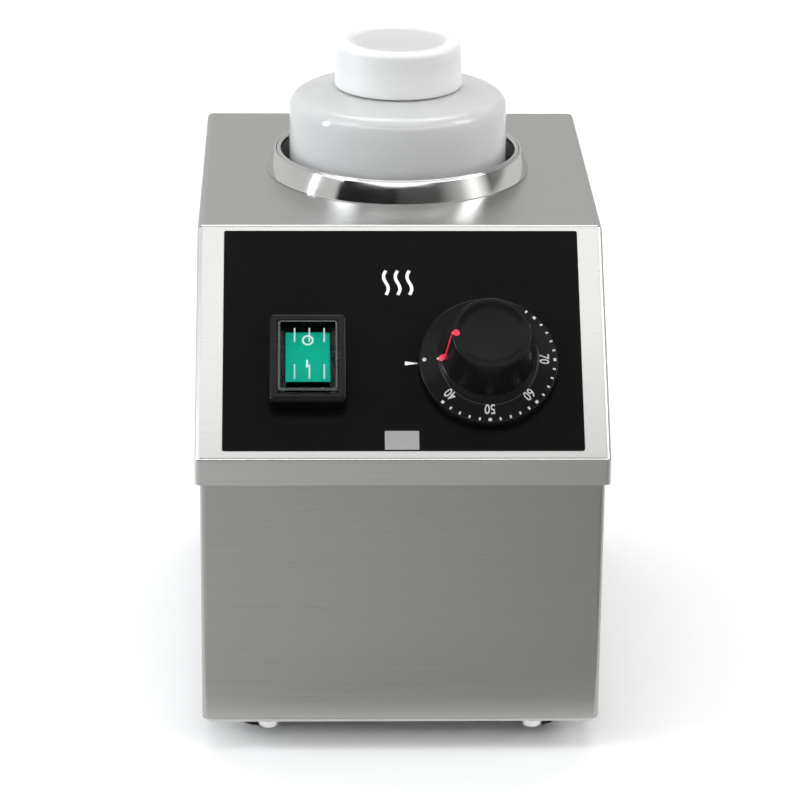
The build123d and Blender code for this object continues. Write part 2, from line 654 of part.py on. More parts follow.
BRACKET = 1.2
BRACKET_HALF_WIDTH = 40.0
BRACKET_FOOT = 10.0
BRACKET_DEPTH = 24.0
with BuildPart() as support_bracket:
    with BuildSketch(facing((0, WELL_Y, 0), (0, -1, 0), (1, 0, 0))):
        with BuildLine():
            path = Polyline(
                (-BRACKET_HALF_WIDTH - BRACKET_FOOT, BASE_TOP + BRACKET / 2),
                (-BRACKET_HALF_WIDTH, BASE_TOP + BRACKET / 2),
                (-BRACKET_HALF_WIDTH, PAD_BOTTOM - BRACKET / 2),
                (BRACKET_HALF_WIDTH, PAD_BOTTOM - BRACKET / 2),
                (BRACKET_HALF_WIDTH, BASE_TOP + BRACKET / 2),
                (BRACKET_HALF_WIDTH + BRACKET_FOOT, BASE_TOP + BRACKET / 2),
            )
            offset(path, amount=BRACKET / 2, kind=Kind.INTERSECTION)
        make_face()
    extrude(amount=BRACKET_DEPTH, both=True)
    with BuildSketch(WELL.offset(PAD_BOTTOM)):
        Circle(CUTOUT_RADIUS + 6)
    extrude(amount=-BRACKET, mode=Mode.SUBTRACT)
save(support_bracket, "support_bracket")

# ---------------------------------------------------------------- temperature sensor
BULB = 3.0
BULB_Y = WELL_Y - WELL_OUTER - BULB - 0.2
BULB_BOTTOM = 142.0
BULB_TOP = 182.0
CLIP_BOTTOM = 156.0
CLIP_HEIGHT = 12.0
with BuildPart() as sensor_bulb:
    with BuildSketch(upright_at(WELL_X, BULB_Y).offset(BULB_BOTTOM)):
        Circle(BULB)
    extrude(amount=BULB_TOP - BULB_BOTTOM)
    chamfer(edges().filter_by(GeomType.CIRCLE), 1.0)
save(sensor_bulb, "sensor_bulb")

with BuildPart() as bulb_clip:
    with BuildSketch(upright_at(WELL_X, BULB_Y).offset(CLIP_BOTTOM)):
        with Locations((0, -0.4)):
            RectangleRounded(13, 7, 1.5)
        Circle(BULB + 0.05, mode=Mode.SUBTRACT)
    extrude(amount=CLIP_HEIGHT)
save(bulb_clip, "bulb_clip")


def tube(points, radii, radius):
    """Adds a round tube or wire to the open part along a route with rounded corners."""
    with BuildLine() as route:
        FilletPolyline(*points, radius=radii)
    first, second = Vector(points[0]), Vector(points[1])
    with BuildSketch(facing(first, second - first)) as section:
        Circle(radius)
    sweep(section.sketch, path=route.wires()[0])


BEHIND = PANEL.z_dir * -1  # straight back from the panel
CAPILLARY_START = KNOB.from_local_coords((-9, -6, -THERMOSTAT_DEPTH))
with BuildPart() as capillary_tube:
    tube(
        [
            CAPILLARY_START,
            CAPILLARY_START + BEHIND * 12,
            Vector(16, -52, 126),
            Vector(3, -38, 126),
            Vector(WELL_X, BULB_Y, 132),
            Vector(WELL_X, BULB_Y, BULB_BOTTOM),
        ],
        4,
        0.9,
    )
save(capillary_tube, "capillary_tube")

# ================================================================ mains wiring inside
BLOCK = (32.0, 20.0, 17.0)
BLOCK_BACK = TERMINAL_Y + BLOCK[1] / 2
BLOCK_WIRE_Z = BASE_TOP + 8.0
WIRE = 1.3
with BuildPart() as terminal_block:
    with BuildSketch(Plane.XY.offset(BASE_TOP)):
        with Locations((0, TERMINAL_Y)):
            RectangleRounded(TERMINAL_SCREW_SPACING + 10, 10, 3)
    extrude(amount=4)
    with BuildSketch(Plane.XY.offset(BASE_TOP)):
        with Locations((0, TERMINAL_Y)):
            RectangleRounded(BLOCK[0], BLOCK[1], 1)
    extrude(amount=BLOCK[2])
    with BuildSketch(Plane.XY.offset(BASE_TOP + BLOCK[2])):
        with Locations((0, TERMINAL_Y)):
            with GridLocations(TERMINAL_PITCH, TERMINAL_ROWS, 3, 2):
                Circle(2.3)
    extrude(amount=-5, mode=Mode.SUBTRACT)
    with BuildSketch(Plane.XY.offset(BASE_TOP)):
        with Locations((0, TERMINAL_Y)):
            with GridLocations(TERMINAL_SCREW_SPACING, 0, 2, 1):
                Circle(M4_HOLE)
    extrude(amount=4, mode=Mode.SUBTRACT)
save(terminal_block, "terminal_block")

with BuildPart() as terminal_clamps:
    with BuildSketch(Plane.XY.offset(BASE_TOP + BLOCK[2] - 5)):
        with Locations((0, TERMINAL_Y)):
            with GridLocations(TERMINAL_PITCH, TERMINAL_ROWS, 3, 2):
                Circle(2.2)
    extrude(amount=3)
    with BuildSketch(Plane.XY.offset(BASE_TOP + BLOCK[2] - 2)):
        with Locations((0, TERMINAL_Y)):
            with GridLocations(TERMINAL_PITCH, TERMINAL_ROWS, 3, 2):
                Rectangle(3.4, 0.7)
    extrude(amount=-1, mode=Mode.SUBTRACT)
save(terminal_clamps, "terminal_clamps")

with BuildPart() as block_screws:
    for side in (-1, 1):
        screw(upright_at(side * TERMINAL_SCREW_SPACING / 2, TERMINAL_Y).offset(BASE_TOP + 4), 6.5)
save(block_screws, "block_screws")

LUG_BOTTOM = BASE_TOP + M4_NUT_HEIGHT
LUG = 1.0
with BuildPart() as earth_stud:
    screw(facing((*EARTH, FOOT_HEIGHT), (0, 0, -1)), 14)
save(earth_stud, "earth_stud")

with BuildPart() as earth_nuts:
    for z in (BASE_TOP, LUG_BOTTOM + LUG):
        nut(upright_at(*EARTH).offset(z))
save(earth_nuts, "earth_nuts")

LUG_LENGTH = 8.0
with BuildPart() as earth_wire:
    with BuildSketch(upright_at(*EARTH).offset(LUG_BOTTOM)):
        Circle(3.8)
        with Locations((-LUG_LENGTH / 2, 0)):
            Rectangle(LUG_LENGTH, 3)
        Circle(M4 + 0.1, mode=Mode.SUBTRACT)
    extrude(amount=LUG)
    tube(
        [
            Vector(0, BLOCK_BACK, BLOCK_WIRE_Z),
            Vector(0, BLOCK_BACK + 12, BLOCK_WIRE_Z),
            Vector(20, EARTH[1], LUG_BOTTOM + LUG / 2),
            Vector(EARTH[0] - LUG_LENGTH + 1, EARTH[1], LUG_BOTTOM + LUG / 2),
        ],
        4,
        WIRE,
    )
save(earth_wire, "earth_wire")


def tab_tip(side, row):
    """End of one of the switch's blade terminals; side -1 is left, row 1 is the upper row."""
    x = side * SWITCH_TAB_SPACING[0] / 2
    return SWITCH.from_local_coords((x, row * SWITCH_TAB_SPACING[1] / 2, -CASE_DEPTH - TAB[2]))


with BuildPart() as supply_wires:
    for side, row_y in ((-1, -66.0), (1, -58.0)):
        tip = tab_tip(side, -1)
        start = Vector(side * TERMINAL_PITCH, BLOCK_BACK, BLOCK_WIRE_Z)
        tube(
            [
                start,
                start + Vector(0, 14, 0),
                Vector(tip.X, row_y, 62),
                Vector(tip.X, row_y, 98),
                tip + BEHIND * 14,
                tip,
            ],
            5,
            WIRE,
        )
save(supply_wires, "supply_wires")

with BuildPart() as heater_wires:
    tip = tab_tip(1, 1)
    end = Vector(WELL_X - HEATER_TERMINAL_X, HEATER_TERMINAL_TIP, HEATER_TERMINAL_Z)
    tube([tip, tip + BEHIND * 13, end + Vector(0, -14, 0), end], 5, WIRE)
    start = KNOB.from_local_coords((-22 - TAB[2], THERMOSTAT_TAB_UPS[0], -20))
    end = Vector(WELL_X + HEATER_TERMINAL_X, HEATER_TERMINAL_TIP, HEATER_TERMINAL_Z)
    tube(
        [start, start + Vector(-9, 0, 0), Vector(-7, -64, 122), end + Vector(0, -14, 0), end],
        4,
        WIRE,
    )
save(heater_wires, "heater_wires")

with BuildPart() as thermostat_wire:
    tip = tab_tip(-1, 1)
    end = KNOB.from_local_coords((-22 - TAB[2], THERMOSTAT_TAB_UPS[1], -20))
    tube([tip, tip + BEHIND * 9, Vector(-22, -60, 150), end + Vector(-10, 0, 0), end], 4, WIRE)
save(thermostat_wire, "thermostat_wire")

# ---------------------------------------------------------------- cable gland
GLAND = facing((GLAND_X, BODY_BACK, GLAND_Z), (0, 1, 0), (1, 0, 0))
GLAND_LENGTH = OVERALL_DEPTH / 2 - BODY_BACK
GLAND_HEX = 21.0
GLAND_HEX_HEIGHT = 4.5
GLAND_INNER = 8.5  # thread inside the housing
CORD_BORE = 3.6
SEAL_RADIUS = 5.4
CAP_WALL = 3.5
SEAL_BOTTOM = 1.0
with BuildPart() as gland_body:
    with BuildSketch(GLAND.offset(-GLAND_INNER)):
        Circle(GLAND_THREAD)
    extrude(amount=GLAND_INNER + 11)
    with BuildSketch(GLAND):
        RegularPolygon(GLAND_HEX / 2, 6, major_radius=False)
    extrude(amount=GLAND_HEX_HEIGHT)
    with BuildSketch(GLAND.offset(-GLAND_INNER)):
        Circle(CORD_BORE + 0.6)
    extrude(amount=GLAND_LENGTH + GLAND_INNER, mode=Mode.SUBTRACT)
    with BuildSketch(GLAND.offset(SEAL_BOTTOM)):
        Circle(SEAL_RADIUS + 0.05)
    extrude(amount=GLAND_LENGTH, mode=Mode.SUBTRACT)
save(gland_body, "gland_body")

with BuildPart() as gland_locknut:
    with BuildSketch(GLAND.offset(-SHEET)):
        RegularPolygon(GLAND_HEX / 2, 6, major_radius=False)
        Circle(GLAND_THREAD + 0.05, mode=Mode.SUBTRACT)
    extrude(amount=-4)
save(gland_locknut, "gland_locknut")

with BuildPart() as gland_cap:
    with BuildSketch(GLAND.offset(GLAND_HEX_HEIGHT + 0.8)):
        RegularPolygon(GLAND_HEX / 2 - 0.5, 6, major_radius=False)
    extrude(amount=8)
    with BuildSketch(section_of(GLAND)):
        with BuildLine():
            Polyline((0, 10), (GLAND_HEX / 2 - 1, 10), (GLAND_HEX / 2 - 1, 14))
            TangentArc((GLAND_HEX / 2 - 1, 14), (5.4, GLAND_LENGTH), tangent=(0, 1))
            Polyline((5.4, GLAND_LENGTH), (0, GLAND_LENGTH), (0, 10))
        make_face()
    revolve(axis=axis_of(GLAND))
    with BuildSketch(GLAND):
        Circle(GLAND_THREAD + 0.05)
    extrude(amount=12, mode=Mode.SUBTRACT)
    with BuildSketch(GLAND):
        Circle(SEAL_RADIUS + 0.05)
    extrude(amount=GLAND_LENGTH - CAP_WALL, mode=Mode.SUBTRACT)
    with BuildSketch(GLAND):
        Circle(CORD_BORE)
    extrude(amount=GLAND_LENGTH, mode=Mode.SUBTRACT)
save(gland_cap, "gland_cap")

with BuildPart() as gland_seal:
    with BuildSketch(GLAND.offset(SEAL_BOTTOM)):
        Circle(SEAL_RADIUS)
        Circle(CORD_BORE, mode=Mode.SUBTRACT)
    extrude(amount=GLAND_LENGTH - CAP_WALL - SEAL_BOTTOM)
save(gland_seal, "gland_seal")

# ================================================================ bottle
BOTTLE_BASE = WELL_FLOOR + 0.2
SHOULDER_EDGE = DECK_HEIGHT + 31.15  # where the straight side and the shoulder would meet
SHOULDER_TOP = DECK_HEIGHT + 35.0
SHOULDER_TOP_RADIUS = 27.5
NECK_TOP = DECK_HEIGHT + 51.6
CAP_BOTTOM = DECK_HEIGHT + 35.6
CAP_TOP = DECK_HEIGHT + 54.9
CAP_BOTTOM_RADIUS = 26.4
CAP_TOP_RADIUS = 25.3
CAP_INNER = 23.9
CAP_ROOF = CAP_TOP - 2.2
LINER = 1.0

with BuildPart() as bottle:
    with BuildSketch(section_of(WELL)):
        Polygon(
            (0, BOTTLE_BASE),
            (BOTTLE_RADIUS, BOTTLE_BASE),
            (BOTTLE_RADIUS, SHOULDER_EDGE),
            (SHOULDER_TOP_RADIUS, SHOULDER_TOP),
            (0, SHOULDER_TOP),
            align=None,
        )
        fillet(vertices().group_by(Axis.Y)[0].sort_by(Axis.X)[-1], BASE_RADIUS)
        fillet(vertices().group_by(Axis.X)[-1].sort_by(Axis.Y)[-1], SHOULDER_RADIUS)
    revolve(axis=axis_of(WELL))
    with BuildSketch(WELL.offset(SHOULDER_TOP)):
        Circle(NECK_RADIUS)
    extrude(amount=NECK_TOP - SHOULDER_TOP)
    offset(amount=-BOTTLE_WALL, openings=faces().sort_by(Axis.Z)[-1])
save(bottle, "bottle")

with BuildPart() as bottle_cap:
    with BuildSketch(section_of(WELL)):
        Polygon(
            (0, CAP_ROOF),
            (0, CAP_TOP - 1),
            (19, CAP_TOP - 1),
            (20.5, CAP_TOP),
            (CAP_TOP_RADIUS, CAP_TOP),
            (CAP_BOTTOM_RADIUS, CAP_BOTTOM),
            (CAP_INNER, CAP_BOTTOM),
            (CAP_INNER, CAP_ROOF),
            align=None,
        )
    revolve(axis=axis_of(WELL))
    fillet(edges().group_by(Axis.Z)[-1].sort_by(SortBy.RADIUS)[-1], 2.4)
save(bottle_cap, "bottle_cap")

with BuildPart() as cap_liner:
    with BuildSketch(WELL.offset(CAP_ROOF - LINER)):
        Circle(CAP_INNER - 0.4)
    extrude(amount=LINER)
save(cap_liner, "cap_liner")
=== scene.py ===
"""Looks of the heated sauce-bottle warmer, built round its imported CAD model.

Everything is in metres in the CAD frame: +X right, +Y back, +Z up. Small sizes are written in millimetres and
turned into metres by the builders below. Every place comes from the frame: a node's box or a joint's axis.
"""

import json
import math

import bmesh
import bpy
from mathutils import Matrix, Vector


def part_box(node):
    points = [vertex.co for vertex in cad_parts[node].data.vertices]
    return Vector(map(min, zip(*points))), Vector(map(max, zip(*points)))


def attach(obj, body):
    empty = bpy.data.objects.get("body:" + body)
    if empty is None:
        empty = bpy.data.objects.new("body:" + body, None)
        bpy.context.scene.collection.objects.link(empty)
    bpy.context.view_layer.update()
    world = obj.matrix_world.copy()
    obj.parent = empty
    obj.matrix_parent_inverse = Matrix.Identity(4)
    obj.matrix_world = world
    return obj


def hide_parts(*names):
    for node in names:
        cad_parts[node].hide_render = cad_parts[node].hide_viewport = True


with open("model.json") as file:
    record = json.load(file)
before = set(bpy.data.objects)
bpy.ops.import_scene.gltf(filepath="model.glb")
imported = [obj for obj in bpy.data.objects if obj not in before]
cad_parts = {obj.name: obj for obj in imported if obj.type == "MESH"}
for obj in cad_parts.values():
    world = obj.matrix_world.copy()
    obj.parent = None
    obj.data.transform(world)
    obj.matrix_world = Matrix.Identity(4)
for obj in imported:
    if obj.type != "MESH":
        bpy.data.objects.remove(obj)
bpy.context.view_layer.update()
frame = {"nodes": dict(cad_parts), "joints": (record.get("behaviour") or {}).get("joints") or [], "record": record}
nodes = frame["nodes"]
MM = 0.001

# ---------------------------------------------------------------- places
joints = {joint["name"]: joint for joint in frame["joints"]}
PANEL_OUT = -Vector(joints["knob_turn"]["axis"])
PIVOT_HEIGHT = 1.8 * MM  # rocker's pivot above the panel
KNOB_PLACE = Vector(joints["knob_turn"]["pos_m"])
SWITCH_PLACE = Vector(joints["rocker_tilt"]["pos_m"]) - PIVOT_HEIGHT * PANEL_OUT
HOOD_LOW, HOOD_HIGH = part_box("hood")
DECK = HOOD_HIGH.z
WELL_LOW, WELL_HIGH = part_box("well")
WELL_CENTRE = (WELL_LOW + WELL_HIGH) / 2


def frame_at(origin, out, right=(1, 0, 0)):
    """Matrix from millimetres in a local frame (x right, z out) to metres in the CAD frame."""
    z = Vector(out).normalized()
    x = (Vector(right) - z * z.dot(Vector(right))).normalized()
    y = z.cross(x)
    turn = Matrix((x, y, z)).transposed().to_4x4()
    return Matrix.Translation(origin) @ turn @ Matrix.Scale(MM, 4)


KNOB = frame_at(KNOB_PLACE, PANEL_OUT)
SWITCH = frame_at(SWITCH_PLACE, PANEL_OUT)
WELL = frame_at((WELL_CENTRE.x, WELL_CENTRE.y, DECK), (0, 0, 1))  # z is the height above the deck


# ---------------------------------------------------------------- outlines
ARC_STEP = 12  # most degrees between two points of an arc
ROUND = 192  # segments round a large turned piece


def rounded(corners, closed=True, step=ARC_STEP):
    """A 2D outline from corners (x, y) or (x, y, radius), with an arc at each corner that has a radius."""
    points = []
    count = len(corners)
    for i, corner in enumerate(corners):
        here = Vector(corner[:2])
        radius = corner[2] if len(corner) > 2 else 0
        if not radius or (not closed and i in (0, count - 1)):
            points.append(here)
            continue
        before = (Vector(corners[i - 1][:2]) - here).normalized()
        after = (Vector(corners[(i + 1) % count][:2]) - here).normalized()
        half = before.angle(after) / 2
        centre = here + (before + after).normalized() * radius / math.sin(half)
        start = here + before * radius / math.tan(half) - centre
        end = here + after * radius / math.tan(half) - centre
        turn = math.atan2(start.x * end.y - start.y * end.x, start.dot(end))
        arcs = max(2, math.ceil(abs(math.degrees(turn)) / step))
        for k in range(arcs + 1):
            points.append(centre + Matrix.Rotation(turn * k / arcs, 2) @ start)
    return points


def block(x0, x1, y0, y1, radius=0):
    """Outline of a rectangle between two corners."""
    return rounded([(x0, y0, radius), (x1, y0, radius), (x1, y1, radius), (x0, y1, radius)])


def rectangle(width, height, radius):
    """Outline of a rectangle round the origin."""
    return block(-width / 2, width / 2, -height / 2, height / 2, radius)


# ---------------------------------------------------------------- mesh builders
ON_AXIS = 1e-6  # a radius below this, in millimetres, is a point on the axis
THINNEST = 0.05  # least corner radius of a rounded-over edge


def neighbours(rings, closed):
    """The pairs of rings that a strip of faces joins."""
    return list(zip(rings, rings[1:] + rings[:1] if closed else rings[1:]))


def lathe(mesh, profile, place, segments=ROUND, closed=False):
    """Adds a profile of (radius, height) turned about the local z axis. Points on the axis become one vertex."""
    rings = []
    for radius, height in profile:
        count = segments if radius > ON_AXIS else 1
        turns = [2 * math.pi * k / segments for k in range(count)]
        rings.append(
            [mesh.verts.new(place @ Vector((radius * math.cos(t), radius * math.sin(t), height))) for t in turns]
        )
    for low, high in neighbours(rings, closed):
        for k in range(segments):
            a, b = low[k % len(low)], low[(k + 1) % len(low)]
            c, d = high[(k + 1) % len(high)], high[k % len(high)]
            corners = [v for n, v in enumerate((a, b, c, d)) if v not in (a, b, c, d)[:n]]
            if len(corners) > 2:
                mesh.faces.new(corners)


def skin(mesh, loops, place, closed=False):
    """Adds a surface over loops of local (x, y, z) points. Open ends are closed with a flat face."""
    rings = [[mesh.verts.new(place @ Vector(p)) for p in loop] for loop in loops]
    count = len(rings[0])
    for low, high in neighbours(rings, closed):
        for k in range(count):
            mesh.faces.new((low[k], low[(k + 1) % count], high[(k + 1) % count], high[k]))
    if not closed:
        mesh.faces.new(reversed(rings[0]))
        mesh.faces.new(rings[-1])


def at_height(outline, z):
    return [(p[0], p[1], z) for p in outline]


def rounded_over(width, height, radius, top, edge, steps):
    """Loops that round over the top edge of a plate, from its full size to its top face."""
    loops = []
    for k in range(steps + 1):
        t = math.pi / 2 * k / steps
        inset = edge * (1 - math.cos(t))
        outline = rectangle(width - 2 * inset, height - 2 * inset, max(radius - inset, THINNEST))
        loops.append(at_height(outline, top - edge * (1 - math.sin(t))))
    return loops


def prism(mesh, outline, z0, z1, place):
    skin(mesh, [at_height(outline, z0), at_height(outline, z1)], place)


def piece(name, mesh, body, material, replaces=(), smooth=35):
    """Turns a bmesh into a finished piece that rides on a body of the frame."""
    bmesh.ops.remove_doubles(mesh, verts=mesh.verts, dist=1e-7)
    bmesh.ops.recalc_face_normals(mesh, faces=mesh.faces)
    data = bpy.data.meshes.new(name)
    mesh.to_mesh(data)
    mesh.free()
    data.shade_smooth()
    data.set_sharp_from_angle(angle=math.radians(smooth))
    data.materials.append(material)
    made = bpy.data.objects.new(name, data)
    bpy.context.scene.collection.objects.link(made)
    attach(made, body)
    if replaces:
        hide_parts(*replaces)
    return made


# ---------------------------------------------------------------- materials
def add_node(tree, kind, inputs, **settings):
    """Adds a shader node. An input is linked when its value is a socket, and set otherwise."""
    made = tree.nodes.new(kind)
    for key, value in settings.items():
        setattr(made, key, value)
    for key, value in inputs.items():
        if isinstance(value, bpy.types.NodeSocket):
            tree.links.new(value, made.inputs[key])
        else:
            made.inputs[key].default_value = value
    return made


class Shader:
    """A short way to write node materials round one Principled BSDF."""

    def __init__(self, name, color, roughness, **sockets):
        self.material = bpy.data.materials.new(name)
        self.material.use_nodes = True
        self.tree = self.material.node_tree
        self.surface = self.tree.nodes["Principled BSDF"]
        self.set("Base Color", (*color, 1))
        self.set("Roughness", roughness)
        for socket, value in sockets.items():
            self.set(socket.replace("_", " "), value)
        self.coords = self.tree.nodes.new("ShaderNodeTexCoord")

    def set(self, socket, value):
        self.surface.inputs[socket].default_value = value

    def node(self, kind, inputs, **settings):
        return add_node(self.tree, kind, inputs, **settings)

    def noise(self, scale, detail=3, stretch=(1, 1, 1), roughness=0.5):
        """Noise from 0 to 1 in object space, with scale times stretch cells in a metre along each axis."""
        spread = self.node("ShaderNodeMapping", {"Vector": self.coords.outputs["Object"], "Scale": stretch})
        made = self.node(
            "ShaderNodeTexNoise",
            {"Vector": spread.outputs[0], "Scale": scale, "Detail": detail, "Roughness": roughness},
        )
        return made.outputs["Fac"]

    def ramp(self, value, low, high, start=0.3, end=0.7):
        """Maps a 0 to 1 value to a number between low and high."""
        made = self.node(
            "ShaderNodeMapRange",
            {"Value": value, "From Min": start, "From Max": end, "To Min": low, "To Max": high},
        )
        return made.outputs[0]

    def tint(self, value, dark, light, start=0.3, end=0.7):
        """Maps a 0 to 1 value to a colour between dark and light."""
        made = self.node("ShaderNodeValToRGB", {"Fac": value})
        made.color_ramp.elements[0].position = start
        made.color_ramp.elements[1].position = end
        made.color_ramp.elements[0].color = (*dark, 1)
        made.color_ramp.elements[1].color = (*light, 1)
        return made.outputs["Color"]

    def math(self, operation, a, b=0.5):
        return self.node("ShaderNodeMath", {0: a, 1: b}, operation=operation).outputs[0]

    def link(self, socket, value):
        self.tree.links.new(value, self.surface.inputs[socket])
        return self

    def bump(self, height, strength, distance=0.0002):
        made = self.node("ShaderNodeBump", {"Height": height, "Strength": strength, "Distance": distance})
        return self.link("Normal", made.outputs[0])


def shade(value, spread):
    """Two greys or colours a little below and above a value."""
    return tuple(c * (1 - spread) for c in value), tuple(min(1, c * (1 + spread)) for c in value)


SIDE_FACING = 0.7  # a face whose normal has more X than this is a side
ALONG_BRUSHING = 22  # cells of grain in a metre
ACROSS_BRUSHING = 2600
GRAIN_SHARE = 0.75  # of the steel's mottling; the rest is soft clouds


def brushed_steel(name, color, roughness, anisotropy, lines=0.12, bump=0.05):
    """Stainless sheet brushed along X on faces that look forward, back or up, and along Y on the sides."""
    made = Shader(name, color, roughness, Metallic=1.0, Anisotropic=anisotropy)
    normal = made.coords.outputs["Normal"]
    sideways = made.node("ShaderNodeSeparateXYZ", {0: normal}).outputs["X"]
    on_side = made.math("GREATER_THAN", made.math("ABSOLUTE", sideways), SIDE_FACING)
    across = made.noise(1, 4, (ALONG_BRUSHING, ACROSS_BRUSHING, ACROSS_BRUSHING), 0.65)
    along = made.noise(1, 4, (ACROSS_BRUSHING, ALONG_BRUSHING, ACROSS_BRUSHING), 0.65)
    grain = made.node("ShaderNodeMix", {"Factor": on_side, "A": across, "B": along}).outputs[0]
    cloud = made.noise(9, 2, (1, 1, 1), 0.5)
    both = made.math(
        "ADD", made.math("MULTIPLY", grain, GRAIN_SHARE), made.math("MULTIPLY", cloud, 1 - GRAIN_SHARE)
    )
    made.link("Base Color", made.tint(both, *shade(color, 0.06)))
    made.link("Roughness", made.ramp(both, roughness * (1 - lines), roughness * (1 + lines)))
    made.bump(grain, bump, 0.00005)
    up = made.node("ShaderNodeCombineXYZ", {"X": 0.02, "Y": 0.0, "Z": 1.0}).outputs[0]
    brushing = made.node("ShaderNodeVectorMath", {0: normal, 1: up}, operation="CROSS_PRODUCT").outputs[0]
    flat = made.node("ShaderNodeVectorMath", {0: brushing, 1: (0.05, 0, 0)}, operation="ADD").outputs[0]
    world = made.node(
        "ShaderNodeVectorTransform", {0: flat}, vector_type="VECTOR", convert_from="OBJECT", convert_to="WORLD"
    )
    made.link("Tangent", world.outputs[0])
    return made.material


def polished_steel(name, color, roughness):
    """Bright stainless, faintly worn, with turning marks round it."""
    made = Shader(name, color, roughness, Metallic=1.0)
    wear = made.noise(60, 5, (1, 1, 3), 0.6)
    made.link("Roughness", made.ramp(wear, roughness * 0.7, roughness * 1.6))
    made.link("Base Color", made.tint(made.noise(25, 3), *shade(color, 0.03)))
    made.bump(made.noise(1, 3, (300, 300, 4000), 0.6), 0.015, 0.00002)
    return made.material


def plastic(name, color, roughness, spread=0.08, grain=900, bump=0.04, **sockets):
    """Moulded plastic: faint mottling, and a fine grain in the surface."""
    made = Shader(name, color, roughness, **sockets)
    made.link("Base Color", made.tint(made.noise(40, 4), *shade(color, spread)))
    made.link("Roughness", made.ramp(made.noise(120, 4), roughness * 0.85, roughness * 1.15))
    made.bump(made.noise(grain, 2), bump, 0.00005)
    return made.material


def plated(name, color, roughness):
    """Bare or plated metal with a fine spotted finish."""
    made = Shader(name, color, roughness, Metallic=1.0)
    spots = made.noise(700, 4)
    made.link("Base Color", made.tint(spots, *shade(color, 0.08)))
    made.link("Roughness", made.ramp(spots, roughness * 0.8, roughness * 1.3))
    made.bump(spots, 0.04, 0.00005)
    return made.material


def fibre(name, color):
    """Matt woven or felted fibre."""
    made = Shader(name, color, 0.9)
    strands = made.noise(1, 5, (500, 500, 1800), 0.7)
    made.link("Base Color", made.tint(strands, *shade(color, 0.2)))
    made.bump(strands, 0.6, 0.0005)
    return made.material


def bottle_plastic(name, color, roughness, subsurface, transmission):
    """Milky plastic that lets light through: scattering inside, a smooth skin, and faint flow marks."""
    made = Shader(
        name,
        color,
        roughness,
        Subsurface_Weight=subsurface,
        Subsurface_Radius=(1.0, 1.0, 1.0),
        Subsurface_Scale=0.012,
        Transmission_Weight=transmission,
        IOR=1.5,
    )
    flow = made.noise(1, 3, (35, 35, 12), 0.5)
    made.link("Base Color", made.tint(flow, *shade(color, 0.02)))
    made.link("Roughness", made.ramp(made.noise(80, 3), roughness * 0.85, roughness * 1.2))
    made.bump(flow, 0.08, 0.0006)
    return made.material


SATIN = brushed_steel("satin_stainless", (0.515, 0.515, 0.5), 0.3, 0.75)
# painted shade: the lower body is the hood's satin stainless with a darker base colour, so that its front reflects
# darker
SHADED_BODY_STEEL = brushed_steel("satin_stainless_painted_shade", (0.385, 0.385, 0.37), 0.3, 0.6)
POLISHED = polished_steel("polished_stainless", (0.66, 0.66, 0.65), 0.07)
SCREW = plated("screw_steel", (0.72, 0.72, 0.73), 0.16)
ZINC = plated("galvanised_sheet", (0.5, 0.51, 0.52), 0.4)
PLATE = brushed_steel("rating_plate_metal", (0.62, 0.62, 0.63), 0.42, 0.4)
BRASS = plated("brass", (0.72, 0.52, 0.22), 0.28)
COPPER = plated("copper", (0.72, 0.36, 0.2), 0.3)
OVERLAY = plastic("overlay_film", (0.003, 0.003, 0.0033), 0.3, 0.1, 2500, 0.03, Specular_IOR_Level=0.05)
KNOB_BLACK = plastic(
    "knob_plastic",
    (0.0055, 0.0052, 0.0052),
    0.3,
    0.1,
    1200,
    0.02,
    Specular_IOR_Level=0.05,
    Coat_Weight=0.12,
    Coat_Roughness=0.14,
)
SWITCH_BLACK = plastic("switch_plastic", (0.004, 0.004, 0.004), 0.16, 0.1, 1200, 0.02, Specular_IOR_Level=0.15)
GREEN = plastic("rocker_plastic", (0.0, 0.345, 0.235), 0.3, 0.06, 900, 0.02, Specular_IOR_Level=0.05)
CLEAR = plastic("clear_plastic", (0.97, 0.985, 0.98), 0.06, 0.01, 300, 0.03, Transmission_Weight=1.0, IOR=1.05)
LAMP = plastic("lamp_glass", (0.9, 0.95, 0.9), 0.05, 0.02, 200, 0.01, Transmission_Weight=1.0)
GREY = plastic("moulded_grey", (0.25, 0.25, 0.24), 0.5)
WHITE = plastic("moulded_white", (0.72, 0.71, 0.66), 0.5)
MICA = brushed_steel("heater_band", (0.5, 0.49, 0.47), 0.4, 0.3)
FIBRE = fibre("insulation_fibre", (0.78, 0.75, 0.68))
WIRE_GREEN = plastic("wire_green", (0.2, 0.4, 0.05), 0.5)
WIRE_BROWN = plastic("wire_brown", (0.16, 0.06, 0.03), 0.5)
WIRE_WHITE = fibre("wire_braid", (0.72, 0.7, 0.65))
GLAND = plastic("gland_nylon", (0.02, 0.02, 0.02), 0.45, 0.15, 1500, 0.08)
RUBBER = plastic("foot_rubber", (0.014, 0.014, 0.014), 0.62, 0.25, 1400, 0.15)
BOTTLE = bottle_plastic("bottle_plastic", (0.94, 0.955, 0.955), 0.16, 0.85, 0.2)
CAP = bottle_plastic("cap_plastic", (0.85, 0.85, 0.84), 0.36, 0.9, 0.0)
FOAM = plastic("liner_foam", (0.8, 0.8, 0.79), 0.7)
PRINT_WHITE = plastic("print_white", (0.85, 0.85, 0.84), 0.45, 0.03)
PRINT_DIAL = plastic("print_dial", (0.5, 0.5, 0.49), 0.45, 0.03)
PRINT_RED = plastic("print_red", (0.72, 0.02, 0.055), 0.4, 0.05)
EDGE = plastic("cover_edge", (0.4, 0.47, 0.46), 0.25, 0.04, Transmission_Weight=0.85, IOR=1.3)
FROST = plastic("frosted_ribs", (0.75, 0.85, 0.83), 0.5, 0.04, Transmission_Weight=0.5)
MARK = plastic("rocker_print", (0.55, 0.85, 0.78), 0.4, 0.04)
PRINT_GREY = plastic("print_grey", (0.28, 0.28, 0.285), 0.45, 0.05)

